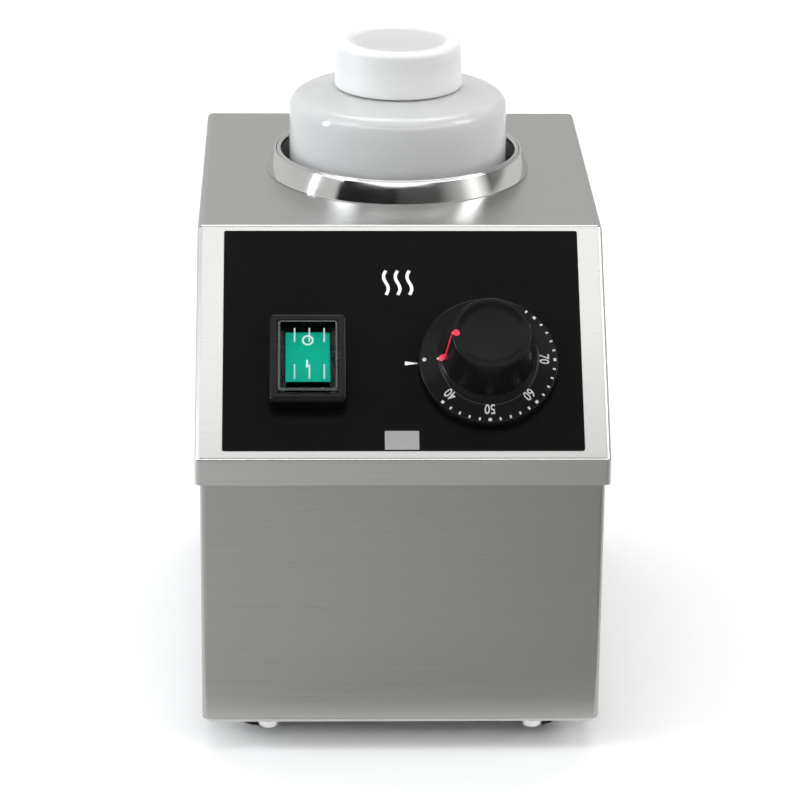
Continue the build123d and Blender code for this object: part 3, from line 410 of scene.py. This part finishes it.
MATERIALS = {
    "satin_stainless": SATIN,
    "polished_stainless": POLISHED,
    "screw_steel": SCREW,
    "zinc_steel": ZINC,
    "rating_plate": PLATE,
    "brass": BRASS,
    "copper": COPPER,
    "overlay_black": OVERLAY,
    "knob_black": KNOB_BLACK,
    "switch_black": SWITCH_BLACK,
    "rocker_green": GREEN,
    "clear_plastic": CLEAR,
    "lamp_glass": LAMP,
    "moulded_grey": GREY,
    "moulded_white": WHITE,
    "mica_heater": MICA,
    "insulation": FIBRE,
    "wire_green": WIRE_GREEN,
    "wire_brown": WIRE_BROWN,
    "wire_white": WIRE_WHITE,
    "gland_black": GLAND,
    "foot_rubber": RUBBER,
    "bottle_plastic": BOTTLE,
    "cap_plastic": CAP,
    "liner_foam": FOAM,
}
SLOTS = {part["node"]: part["material_slot"] for part in frame["record"]["subparts"]}
# The lower body takes the darker copy of the satin stainless, a painted shade.
for name, node in nodes.items():
    node.data.materials.clear()
    node.data.materials.append(SHADED_BODY_STEEL if name == "lower_body" else MATERIALS[SLOTS[name]])

# ---------------------------------------------------------------- bottle and cap
# Outlines of the bottle, the cap and the well are (radius, height above the deck, corner radius).
BOTTLE_BOTTOM = -129.8
THREAD_LEAD = 9.0  # rise in one turn
THREAD_STEPS = 48  # sections in one turn
THREAD_FADE = 5  # sections over which a ridge fades in or out
THREAD_ROOT = 1.3  # half height of a ridge where it leaves the wall
THREAD_CREST = 0.5  # half height at its crest
THREAD_SUNK = 0.3  # how far it reaches into the wall


def arc(centre, radius, first, last, count):
    """Points on an arc, angles in degrees."""
    turns = [math.radians(first + (last - first) * k / count) for k in range(count + 1)]
    return [(centre[0] + radius * math.cos(t), centre[1] + radius * math.sin(t)) for t in turns]


def thread(mesh, root, crest, first_z, turns, place, inwards=False):
    """Adds one helical ridge that fades in and out at its ends."""
    loops = []
    steps = round(turns * THREAD_STEPS)
    for k in range(steps + 1):
        fade = min(1.0, k / THREAD_FADE, (steps - k) / THREAD_FADE)
        angle = 2 * math.pi * k / THREAD_STEPS
        z = first_z + THREAD_LEAD * k / THREAD_STEPS
        top = root + (crest - root) * max(fade, 0.05)
        sunk = root + (THREAD_SUNK if inwards else -THREAD_SUNK)
        section = [(sunk, z - THREAD_ROOT), (top, z - THREAD_CREST), (top, z + THREAD_CREST), (sunk, z + THREAD_ROOT)]
        loops.append([(r * math.cos(angle), r * math.sin(angle), h) for r, h in section])
    skin(mesh, loops, place)


def make_bottle():
    mesh = bmesh.new()
    outside = rounded(
        [(0, -126.6), (30, -127.2, 8), (36, BOTTLE_BOTTOM, 2), (44.9, BOTTLE_BOTTOM, 5.5), (44.9, 26.5)],
        closed=False,
    )
    outside += arc((38.9, 26.3), 6, 18, 77.7, 8)
    neck = [(27.5, 35, 2), (21.2, 35.05, 1.2), (21.2, 51.6, 0.5), (19.9, 51.6, 0.4), (19.9, 33.7, 1), (27.2, 33.7)]
    outside += rounded([(39.5, 32.31)] + neck, closed=False)[1:]
    inside = arc((38.9, 26.3), 4.7, 77.7, 0, 8)
    inside += rounded([(43.6, 20), (43.6, -128.5, 4.2), (35, -128.5, 2), (30, -126, 6), (0, -125.3)], closed=False)
    lathe(mesh, outside + inside, WELL)
    thread(mesh, 21.2, 22.6, 42.2, 0.9, WELL)
    piece("warm_bottle", mesh, "bottle", BOTTLE, ["bottle"], smooth=25)


def make_cap():
    mesh = bmesh.new()
    skirt = [(23.9, 35.6, 0.3), (26.4, 35.6, 0.9), (25.3, 54.9, 2.6)]
    dish = [(20.9, 54.9, 1.6), (18.2, 53.9, 2.4), (0, 53.75)]
    inside = [(0, 52.76), (23.9, 52.76, 0.2), (23.9, 35.6)]
    lathe(mesh, rounded(skirt + dish, closed=False) + rounded(inside, closed=False), WELL)
    thread(mesh, 23.9, 22.8, 41.0, 0.6, WELL, inwards=True)
    piece("screw_cap", mesh, "cap", CAP, ["bottle_cap"])


# ---------------------------------------------------------------- heated well
CUP_WITHIN = 48.8  # the cup's inside lies within this radius
CUP_BELOW = 7.2  # and below its rolled rim


def make_well():
    mesh = bmesh.new()
    outside = rounded([(0, -131), (49.5, -131, 8), (49.5, 6.5)], closed=False)
    bead = arc((49.45, 8.05), 0.95, -87, 180, 18)
    inside = rounded([(48.5, 7), (48.5, -130, 7), (0, -130)], closed=False)
    lathe(mesh, outside + bead + inside, WELL)
    well = piece("heated_well", mesh, "housing", POLISHED, ["well"])
    well.data.materials.append(SATIN)
    for face in well.data.polygons:
        spot = WELL.inverted() @ face.center
        if math.hypot(spot.x, spot.y) < CUP_WITHIN and spot.z < CUP_BELOW:
            face.material_index = 1

    mesh = bmesh.new()
    ring = rounded([(53.4, 0, 0.2), (54.5, 0, 0.3), (51.2, 8.6, 0.8), (50.4, 8.7, 0.2)])
    lathe(mesh, ring, WELL, closed=True)
    piece("polished_collar", mesh, "housing", POLISHED, ["well_collar"])


# ---------------------------------------------------------------- thermostat knob
# Outlines of the knob are (radius, height above the panel, corner radius).
GRIP_TOP = [(0, 27.4), (11.4, 27.55, 8), (13.4, 28, 1), (15.14, 28, 1.0)]
SKIRT_TOP = [(17.18, 5.9, 4.2), (27, 4.5, 0.8), (27, 1.0, 0.3)]
SKIRT_UNDER = [(25.2, 1.0), (25.2, 3.2), (14.4, 3.2), (12.8, 24)]
HUB_UNDER = [(6.5, 24), (6.5, 3.2), (3.05, 3.2), (3.05, 22), (0, 22)]
PRINT = 0.05  # thickness of printed marks
DIAL_START = 225.0  # angle of the lowest number
DIAL_STEP = 45.0  # between numbers
TICK_STEP = 9.0
TICKS = 22
TICKS_TO_LONG = 5  # every fifth tick is wide
TICK_RADIUS = 25.6
TICK_LENGTH = 1.15
NUMBER_RADIUS = 21.3
NUMBER_HEIGHT = 3.9
NUMBERS = (40, 50, 60, 70)
LINE_ANGLE = 180  # angle of the red line on the knob
LINE_START = 13.2  # radii between which the red line runs
LINE_END = 18.3
LINE_WIDE = 0.6  # half width


def knob_profile():
    return rounded(GRIP_TOP + SKIRT_TOP, closed=False, step=6)


def knob_height(radius):
    """Height of the knob's upper surface at a radius."""
    points = knob_profile()
    for a, b in zip(points, points[1:]):
        if a.x <= radius <= b.x and b.x > a.x:
            return a.y + (b.y - a.y) * (radius - a.x) / (b.x - a.x)
    return points[-1].y


def print_on_knob(mesh, source, radius, angle):
    """Copies a closed mesh of a flat mark onto the knob, its top towards the knob's edge."""
    corners = {}
    turn = math.radians(angle)
    for vertex in source.verts:
        out = radius + vertex.co.y
        around = turn + vertex.co.x / radius
        lift = knob_height(out) + (PRINT if vertex.co.z > 0 else -PRINT)
        corners[vertex] = mesh.verts.new(KNOB @ Vector((out * math.cos(around), out * math.sin(around), lift)))
    for face in source.faces:
        mesh.faces.new([corners[v] for v in face.verts])
    source.free()


def disc(radius, count=20):
    """A closed flat disc with an inner ring, to bend over a curved surface."""
    source = bmesh.new()
    turns = [2 * math.pi * k / count for k in range(count)]
    loops = []
    for scale, z in ((0.01, -1), (0.5, -1), (1, -1), (1, 1), (0.5, 1), (0.01, 1)):
        loops.append([(radius * scale * math.cos(t), radius * scale * math.sin(t), z) for t in turns])
    skin(source, loops, Matrix())
    return source


def box_mark(width, height):
    source = bmesh.new()
    prism(source, rectangle(width, height, 0.12), -1, 1, Matrix())
    return source


def digits(text, height):
    """A closed flat mesh of a number, centred on its middle, mirrored so that it reads from outside the dial."""
    curve = bpy.data.curves.new("digits", "FONT")
    curve.body = text
    curve.align_x = "CENTER"
    curve.align_y = "CENTER"
    curve.size = height * 1.38  # a digit is 1 / 1.38 of the font's size high
    curve.offset = 0.055  # makes the strokes heavier
    curve.extrude = 1
    curve.resolution_u = 4
    maker = bpy.data.objects.new("digits", curve)
    flat = bpy.data.meshes.new_from_object(maker)
    source = bmesh.new()
    source.from_mesh(flat)
    bpy.data.objects.remove(maker)
    bpy.data.curves.remove(curve)
    bpy.data.meshes.remove(flat)
    bmesh.ops.remove_doubles(source, verts=source.verts, dist=1e-5)
    for vertex in source.verts:
        vertex.co.x *= -0.8  # mirrored and narrowed
    return source


def make_knob():
    mesh = bmesh.new()
    lathe(mesh, knob_profile() + [Vector(p) for p in SKIRT_UNDER + HUB_UNDER], KNOB)
    piece("dial_knob", mesh, "knob", KNOB_BLACK, ["thermostat_knob"])

    mesh = bmesh.new()
    for k in range(TICKS):
        width = 0.75 if k % TICKS_TO_LONG else 1.25
        print_on_knob(mesh, box_mark(width, TICK_LENGTH), TICK_RADIUS, DIAL_START + TICK_STEP * k)
    print_on_knob(mesh, disc(0.8), 24.9, LINE_ANGLE)
    print_on_knob(mesh, disc(0.4, 12), 21.6, 42)
    for k, number in enumerate(NUMBERS):
        print_on_knob(mesh, digits(str(number), NUMBER_HEIGHT), NUMBER_RADIUS, DIAL_START + DIAL_STEP * k)
    print_on_knob(mesh, disc(0.5, 12), 19.7, LINE_ANGLE)
    piece("dial_numbers", mesh, "knob", PRINT_DIAL)

    mesh = bmesh.new()
    line = [p for p in knob_profile() if GRIP_TOP[2][0] < p.x < LINE_END]
    line = [Vector((LINE_START, knob_height(LINE_START)))] + line + [Vector((LINE_END, knob_height(LINE_END)))]
    loops = []
    for k, p in enumerate(line):
        ahead = line[min(k + 1, len(line) - 1)] - line[max(k - 1, 0)]
        normal = Vector((-ahead.y, ahead.x)).normalized()
        outer, inner = p + normal * PRINT, p - normal * PRINT
        low = -0.65 if p.y > 27.2 else -1.5  # wider below the grip's top
        section = ((outer, low), (outer, LINE_WIDE), (inner, LINE_WIDE), (inner, low))
        loops.append([(-q.x, w, q.y) for q, w in section])
    skin(mesh, loops, KNOB)
    print_on_knob(mesh, disc(1.35), 13.4, LINE_ANGLE)
    print_on_knob(mesh, disc(1.3), 18.2, LINE_ANGLE)
    piece("dial_red_line", mesh, "knob", PRINT_RED)


# ---------------------------------------------------------------- switch
ROCKER_REST = -9  # degrees from level
ROCK = SWITCH @ Matrix.Translation((0, 0, PIVOT_HEIGHT / MM)) @ Matrix.Rotation(math.radians(ROCKER_REST), 4, "X")
ROCKER_HALF = 8.7  # half its width
ROCKER_REACH = 11.8  # half its length
BEZEL = (30, 37.7)
BEZEL_TOP = 7.6
BEZEL_FOOT = 0.4  # the overlay's upper face
WINDOW = (23.3, 30.3)
RECESS = (27.4, 34.9)  # under the bezel, where the cover's flange lies
RECESS_TOP = 4.2
COVER = (23, 30)
COVER_INSIDE = (21.4, 28.4)
COVER_FLANGE = (27, 34.5)
COVER_TOP = 9.6
COVER_ROOF = 8.8  # underside of its top
COVER_FOOT = 3.4
RIB_ACROSS = (-5.1, 0.6, 6.3)
RIB_ENDS = ((5.9, 11.8), (-9.9, -3.7))


def make_switch():
    mesh = bmesh.new()
    loops = [at_height(rectangle(*BEZEL, 2.2), BEZEL_FOOT)] + rounded_over(*BEZEL, 2.2, BEZEL_TOP, 1.3, 5)
    edge = 0.35  # of the window
    for k in range(4):
        t = math.pi / 2 * k / 3
        grow = edge * (1 - math.sin(t))
        outline = rectangle(WINDOW[0] + 2 * grow, WINDOW[1] + 2 * grow, 1.2 + grow)
        loops.append(at_height(outline, BEZEL_TOP - edge + edge * math.cos(t)))
    loops.append(at_height(rectangle(*WINDOW, 1.2), RECESS_TOP))
    loops.append(at_height(rectangle(*RECESS, 0.5), RECESS_TOP))
    loops.append(at_height(rectangle(*RECESS, 0.5), BEZEL_FOOT))
    skin(mesh, loops, SWITCH, closed=True)
    piece("switch_frame", mesh, "housing", SWITCH_BLACK, ["switch_bezel"])

    mesh = bmesh.new()
    loops = [
        at_height(rectangle(*COVER_INSIDE, 0.5), COVER_ROOF),
        at_height(rectangle(*COVER_INSIDE, 0.5), COVER_FOOT),
        at_height(rectangle(*COVER_FLANGE, 0.5), COVER_FOOT),
        at_height(rectangle(*COVER_FLANGE, 0.5), RECESS_TOP),
        at_height(rectangle(*COVER, 1), RECESS_TOP),
    ]
    skin(mesh, loops + rounded_over(*COVER, 1, COVER_TOP, 0.8, 5), SWITCH)
    cover = piece("clear_cover", mesh, "housing", CLEAR, ["splash_cover"])
    cover.data.materials.append(EDGE)
    for face in cover.data.polygons:
        spot = SWITCH.inverted() @ face.center
        if spot.z > COVER_ROOF and (abs(spot.x) > 10.6 or abs(spot.y) > 14.1):
            face.material_index = 1

    mesh = bmesh.new()
    for x in RIB_ACROSS:
        for low, high in RIB_ENDS:
            prism(mesh, block(x - 0.3, x + 0.3, low, high, 0.2), COVER_ROOF - 0.2, COVER_ROOF - 0.01, SWITCH)
    piece("cover_ribs", mesh, "housing", FROST)

    mesh = bmesh.new()
    end, dish = ROCKER_REACH, (0, 2.4, 60)
    side = rounded([(-end, -5, 0.5), (-end, 4.6, 0.6), dish, (end, 4.6, 0.6), (end, -5, 0.5)])
    edges = ((0, 0.5), (0.15, 0.2), (0.5, 0))  # (distance from the flank, inset)
    across = [(distance - ROCKER_HALF, inset) for distance, inset in edges]
    across += [(ROCKER_HALF - distance, inset) for distance, inset in reversed(edges)]
    loops = []
    for x, inset in across:
        loops.append([(x, p.x * (1 - inset / ROCKER_REACH), p.y * (1 - inset / 5)) for p in side])
    skin(mesh, loops, ROCK)
    for way in (-1, 1):
        pin = ROCK @ Matrix.Rotation(math.radians(90 * way), 4, "Y")
        near, far = ROCKER_HALF - 0.5, ROCKER_HALF + 1
        lathe(mesh, [(0, near), (1, near), (1, far), (0, far)], pin, 24)
    rocker = piece("green_rocker", mesh, "rocker", GREEN, ["switch_rocker"])
    # painted shade: the faces at the rocker's lower end take the black plastic, for the shade that lies on that end
    rocker.data.materials.append(SWITCH_BLACK)
    for face in rocker.data.polygons:
        if (ROCK.inverted() @ face.center).y < 0.2 - ROCKER_REACH:
            face.material_index = 1

    def rocker_top(y):
        """Height of the rocker's dished face."""
        face = [p for p in side if p.y > 2]
        a = max((p for p in face if p.x <= y), key=lambda p: p.x)
        b = min((p for p in face if p.x >= y), key=lambda p: p.x)
        return a.y if a.x == b.x else a.y + (b.y - a.y) * (y - a.x) / (b.x - a.x)

    mesh = bmesh.new()
    turns = [2 * math.pi * k / 32 for k in range(32)]
    loops = []
    for radius, lift in ((2.3, -PRINT), (2.3, PRINT), (1.55, PRINT), (1.55, -PRINT)):
        ring = [(radius * math.cos(t), 8.0 + radius * math.sin(t)) for t in turns]
        loops.append([(x, y, rocker_top(y) + lift) for x, y in ring])
    skin(mesh, loops, ROCK, closed=True)
    along = (-4.6, -3.8, -2.8, -1.8, -0.8)
    stroke = [(-0.7, y) for y in along] + [(0.1, y) for y in reversed(along)]
    skin(mesh, [[(x, y, rocker_top(y) + lift) for x, y in stroke] for lift in (-PRINT, PRINT)], ROCK)
    piece("rocker_marks", mesh, "rocker", MARK)


# ---------------------------------------------------------------- prints on the control panel
PANEL = KNOB @ Matrix.Translation((-33.4, 61.6, 0))  # from the middle of the panel's upper edge
OVERLAY_TOP = 0.4
PRINT_TOP = OVERLAY_TOP + PRINT
WAVES = (-1, 0, 1)
WAVE_STEPS = 24
WAVE_APART = 4.6
WAVE_LEFT = -1.3  # x of the middle wave
WAVE_SWING = 0.9
WAVE_BOTTOM = -31.2
WAVE_HEIGHT = 10.6
WAVE_HALF = 0.62  # half the stroke's width


def make_prints():
    mesh = bmesh.new()
    pointer = rounded([(1.1, -61.95, 0.2), (6.0, -61.25, 0.1), (6.0, -60.95, 0.1), (1.1, -60.25, 0.2)])
    prism(mesh, pointer, OVERLAY_TOP, PRINT_TOP, PANEL)
    for column in WAVES:
        line = []
        for k in range(WAVE_STEPS + 1):
            s = k / WAVE_STEPS
            x = WAVE_LEFT + WAVE_APART * column + WAVE_SWING * math.sin(2 * math.pi * s)
            line.append(Vector((x, WAVE_BOTTOM + WAVE_HEIGHT * s)))
        loops = []
        for k, p in enumerate(line):
            ahead = (line[min(k + 1, WAVE_STEPS)] - line[max(k - 1, 0)]).normalized()
            aside = Vector((ahead.y, -ahead.x)) * WAVE_HALF
            a, b = p - aside, p + aside
            loops.append([(*a, OVERLAY_TOP), (*b, OVERLAY_TOP), (*b, PRINT_TOP), (*a, PRINT_TOP)])
        skin(mesh, loops, PANEL)
    piece("panel_marks", mesh, "housing", PRINT_WHITE)

    mesh = bmesh.new()
    prism(mesh, block(-7, 6.2, -97.9, -90, 0.3), OVERLAY_TOP, PRINT_TOP, PANEL)
    piece("blank_label", mesh, "housing", PRINT_GREY)


# ---------------------------------------------------------------- feet, screws and plate
def make_foot(node):
    low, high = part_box(node)
    mesh = bmesh.new()
    profile = rounded([(2.15, 12), (10, 12, 0.7), (8.4, 0, 1.4), (5, 0, 0.4), (5, 6), (2.15, 6)])
    lathe(mesh, profile, frame_at(((low.x + high.x) / 2, (low.y + high.y) / 2, 0), (0, 0, 1)), 96, closed=True)
    piece("rubber_" + node, mesh, "housing", RUBBER, [node])


def cross(arm, half, count=48):
    """Outline of a cross recess, as one point per direction."""
    points = []
    for k in range(count):
        turn = 2 * math.pi * k / count
        near = (turn + math.pi / 4) % (math.pi / 2) - math.pi / 4
        reach = arm / math.cos(near) if abs(math.tan(near)) * arm <= half else half / abs(math.sin(near))
        points.append((reach * math.cos(turn), reach * math.sin(turn)))
    return points


def screw_head(mesh, place, radius, height, edge, shank):
    """Adds a pan-head screw with a cross recess. It stands on place's z = 0 and its shank goes down."""
    turns = [2 * math.pi * k / 48 for k in range(48)]

    def circle(r, z):
        return [(r * math.cos(t), r * math.sin(t), z) for t in turns]

    loops = [circle(1.95, -shank), circle(1.95, 0), circle(radius, 0)]
    for k in range(7):
        t = math.pi / 2 * k / 6
        loops.append(circle(radius - edge * (1 - math.cos(t)), height - edge * (1 - math.sin(t))))
    arm = (radius - edge) * 0.85
    loops.append(at_height(cross(arm, 0.55), height))
    loops.append(at_height(cross(arm * 0.75, 0.4), height - 1.3))
    skin(mesh, loops, place)


DOME_HEAD = (4.2, 3.4, 1.9)  # radius, height and rounding of a screw's head
PAN_HEAD = (3.6, 2.2, 1.2)


def four_screws(node, name, head, shank):
    """Replaces a node of four upward screws, one at each corner of its box."""
    radius, height, edge = head
    low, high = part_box(node)
    mesh = bmesh.new()
    for x in (low.x + radius * MM, high.x - radius * MM):
        for y in (low.y + radius * MM, high.y - radius * MM):
            place = frame_at((x, y, low.z + height * MM), (0, 0, -1))
            screw_head(mesh, place, radius, height, edge, shank)
    piece(name, mesh, "housing", SCREW, [node])


def make_screws():
    four_screws("base_screws", "base_fixings", DOME_HEAD, 7)

    radius, height, edge = PAN_HEAD
    low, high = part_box("hood_screws")
    mesh = bmesh.new()
    for x in (low.x + radius * MM, high.x - radius * MM):
        place = frame_at((x, high.y - height * MM, (low.z + high.z) / 2), (0, 1, 0))
        screw_head(mesh, place, radius, height, edge, 8)
    piece("hood_fixings", mesh, "housing", SCREW, ["hood_screws"])

    four_screws("foot_screws", "foot_fixings", PAN_HEAD, 11.4)


PLATE_SIZE = (64, 34)
PLATE_THICK = 0.6
FIELD_X = 28  # half the width of the frame printed on the plate
FIELD_Y = 12  # half its height
FIELD_ROW = 4  # where its cross lines run
FIELD_LINE = 0.4  # width of a line


def make_plate():
    low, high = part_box("rating_plate")
    place = frame_at(((low.x + high.x) / 2, low.y, (low.z + high.z) / 2), (0, 1, 0), (-1, 0, 0))
    mesh = bmesh.new()
    loops = [at_height(rectangle(*PLATE_SIZE, 2), 0)] + rounded_over(*PLATE_SIZE, 2, PLATE_THICK, 0.2, 4)
    skin(mesh, loops, place)
    piece("data_plate", mesh, "housing", PLATE, ["rating_plate"])
    mesh = bmesh.new()
    x_in, y_in, row_in = FIELD_X - FIELD_LINE, FIELD_Y - FIELD_LINE, FIELD_ROW - FIELD_LINE
    lines = (
        (-FIELD_X, FIELD_X, y_in, FIELD_Y),
        (-FIELD_X, FIELD_X, -FIELD_Y, -y_in),
        (-FIELD_X, -x_in, -y_in, y_in),
        (x_in, FIELD_X, -y_in, y_in),
        (-x_in, x_in, row_in, FIELD_ROW),
        (-x_in, x_in, -FIELD_ROW, -row_in),
        (-FIELD_LINE / 2, FIELD_LINE / 2, -y_in, row_in),
    )
    for line in lines:
        prism(mesh, block(*line), PLATE_THICK - 0.01, PLATE_THICK + 0.02, place)
    piece("data_plate_fields", mesh, "housing", PRINT_GREY)


make_bottle()
make_cap()
make_well()
make_knob()
make_switch()
make_prints()
for name in nodes:
    if name.startswith("foot_") and name not in ("foot_screws", "foot_nuts"):
        make_foot(name)
make_screws()
make_plate()

# ---------------------------------------------------------------- floor, light and camera
FLOOR_HALF = 3.0
CARD_HALF = 1.2
CARD_NEAR = -0.161  # the card's edge next to the housing
CARD_FAR = -1.5
CARD_HEIGHT = 0.0004


def flat_sheet(name, x0, x1, y0, y1, z, material):
    """One flat upward face."""
    mesh = bmesh.new()
    mesh.faces.new([mesh.verts.new((x, y, z)) for x, y in ((x0, y0), (x1, y0), (x1, y1), (x0, y1))])
    data = bpy.data.meshes.new(name)
    mesh.to_mesh(data)
    mesh.free()
    data.materials.append(material)
    made = bpy.data.objects.new(name, data)
    bpy.context.scene.collection.objects.link(made)
    return made


def stage():
    paint = Shader("pale_floor", (0.9, 0.9, 0.9), 0.7, Specular_IOR_Level=0.2)
    paint.link("Base Color", paint.tint(paint.noise(3, 2), (0.89, 0.89, 0.89), (0.91, 0.91, 0.91)))
    floor = flat_sheet("floor", -FLOOR_HALF, FLOOR_HALF, -FLOOR_HALF, FLOOR_HALF, 0, paint.material)


def dark_card():
    """A grey card on the floor in front of the housing, a painted shade for its front to reflect, lighter at the left
    than at the right. No camera sees it.
    """
    paint = Shader("painted_shade_card", (0.4, 0.4, 0.4), 0.8, Specular_IOR_Level=0.1)
    # painted light and shade: the card's grey goes from lighter at the left to darker at the right, so the housing's
    # front reflects a lighter left side
    side = paint.node("ShaderNodeSeparateXYZ", {0: paint.coords.outputs["Object"]}).outputs["X"]
    share = paint.ramp(side, 0, 1, -0.15, 0.15)
    paint.link("Base Color", paint.tint(share, (0.56, 0.56, 0.55), (0.3, 0.3, 0.29), 0, 1))
    card = flat_sheet("dark_card", -CARD_HALF, CARD_HALF, CARD_FAR, CARD_NEAR, CARD_HEIGHT, paint.material)
    card.visible_camera = False
    card.visible_shadow = False
    card.visible_diffuse = False


def softbox(name, place, target, width, height, watts, color=(1, 1, 1)):
    """A rectangular light at a place, aimed at a target."""
    data = bpy.data.lights.new(name, "AREA")
    data.shape = "RECTANGLE"
    data.size, data.size_y = width, height
    data.energy = watts
    data.color = color
    lamp = bpy.data.objects.new(name, data)
    lamp.location = place
    lamp.rotation_euler = (Vector(target) - Vector(place)).to_track_quat("-Z", "Y").to_euler()
    bpy.context.scene.collection.objects.link(lamp)


# The surroundings' brightness by compass degrees: 0 is the front, 90 the right.
SURROUNDINGS = (
    (-180, 0.65),
    (-100, 0.72),
    (-59, 0.68),
    (-55, 0.02),
    (-4, 0.02),
    (2, 0.07),
    (36, 0.1),
    (58, 0.6),
    (72, 1.7),
    (90, 0.2),
    (115, 0.34),
    (180, 0.65),
)
CEILING = 0.38
FRONT_BAND = 4.6
BELOW = (0.75, 0.75, 0.74, 1)


def studio():
    """Surroundings with a dark gap behind the camera, a bright band over it and a plain ceiling, as a studio has."""
    world = bpy.data.worlds.new("studio")
    world.use_nodes = True
    tree = world.node_tree
    coords = add_node(tree, "ShaderNodeTexCoord", {}).outputs["Generated"]
    split = add_node(tree, "ShaderNodeSeparateXYZ", {0: coords}).outputs

    def share(value, start, end):
        """Goes from 0 to 1 as a value goes from start to end."""
        return add_node(tree, "ShaderNodeMapRange", {"Value": value, "From Min": start, "From Max": end}).outputs[0]

    def multiply(a, b):
        return add_node(tree, "ShaderNodeMath", {0: a, 1: b}, operation="MULTIPLY").outputs[0]

    def mix(factor, a, b):
        made = add_node(tree, "ShaderNodeMix", {"Factor": factor, "A": a, "B": b}, data_type="RGBA")
        return made.outputs["Result"]

    compass = {0: split["X"], 1: multiply(split["Y"], -1)}
    turn = add_node(tree, "ShaderNodeMath", compass, operation="ARCTAN2").outputs[0]
    ring = add_node(tree, "ShaderNodeValToRGB", {"Fac": share(turn, -math.pi, math.pi)})
    ring.color_ramp.elements[0].position = 0
    ring.color_ramp.elements[1].position = 1
    for degrees, _ in SURROUNDINGS[1:-1]:
        ring.color_ramp.elements.new((degrees + 180) / 360)
    for element, (_, value) in zip(ring.color_ramp.elements, SURROUNDINGS):
        element.color = (value, value, value * 0.985, 1)

    walls = mix(share(split["Z"], 0.62, 0.8), ring.outputs["Color"], (CEILING, CEILING, CEILING, 1))
    in_height = multiply(share(split["Z"], 0.47, 0.51), share(split["Z"], 0.66, 0.6))
    in_front = multiply(in_height, share(split["Y"], 0.05, -0.2))
    lit = mix(in_front, walls, (FRONT_BAND, FRONT_BAND, FRONT_BAND, 1))
    horizon = mix(share(split["Z"], 0.12, 0.18), BELOW, lit)
    tree.links.new(horizon, tree.nodes["Background"].inputs["Color"])
    tree.nodes["Background"].inputs["Strength"].default_value = 1.0
    bpy.context.scene.world = world


YAW = 1.67  # degrees to the right
PITCH = 20.43  # degrees down
ROLL = 0.55
LENS = 158.2  # millimetres
EYE_X = -0.038
EYE_BACK = 1.2516  # from the camera to the hood's front
EYE_ABOVE = 0.42  # above the deck


def camera():
    """A long lens, a little left of centre, looking down on the front."""
    yaw, pitch, roll = (math.radians(angle) for angle in (YAW, PITCH, ROLL))
    ahead = Vector((math.sin(yaw) * math.cos(pitch), math.cos(yaw) * math.cos(pitch), -math.sin(pitch)))
    level = Vector((math.cos(yaw), -math.sin(yaw), 0))
    above = level.cross(ahead)
    right = math.cos(roll) * level + math.sin(roll) * above
    up = -math.sin(roll) * level + math.cos(roll) * above
    data = bpy.data.cameras.new("camera")
    data.sensor_width = 36
    data.lens = LENS
    eye = bpy.data.objects.new("camera", data)
    spot = Vector((EYE_X, HOOD_LOW.y - EYE_BACK, DECK + EYE_ABOVE))
    eye.matrix_world = Matrix.Translation(spot) @ Matrix((right, up, -ahead)).transposed().to_4x4()
    bpy.context.scene.collection.objects.link(eye)
    bpy.context.scene.camera = eye


stage()
dark_card()
studio()
softbox("key_above", (0.0, 0.65, 1.75), (0, 0, 0.1), 1.4, 0.9, 14)
softbox("panel_light", (0.05, -0.42, 1.5), (0, -0.09, 0.16), 1.2, 0.4, 2.4)
softbox("left_window", (-0.86, -0.46, 1.02), (0, 0, 0.17), 0.34, 0.7, 3.0, (0.93, 0.97, 1.0))
softbox("low_window", (-1.1, -0.15, 0.4), (0, -0.08, 0.17), 0.06, 0.5, 4.5, (0.86, 0.92, 1.0))
softbox("right_window", (1.02, -0.1, 1.0), (0, 0, 0.17), 0.34, 0.6, 3.4)
camera()
bpy.context.scene.view_settings.view_transform = "Standard"
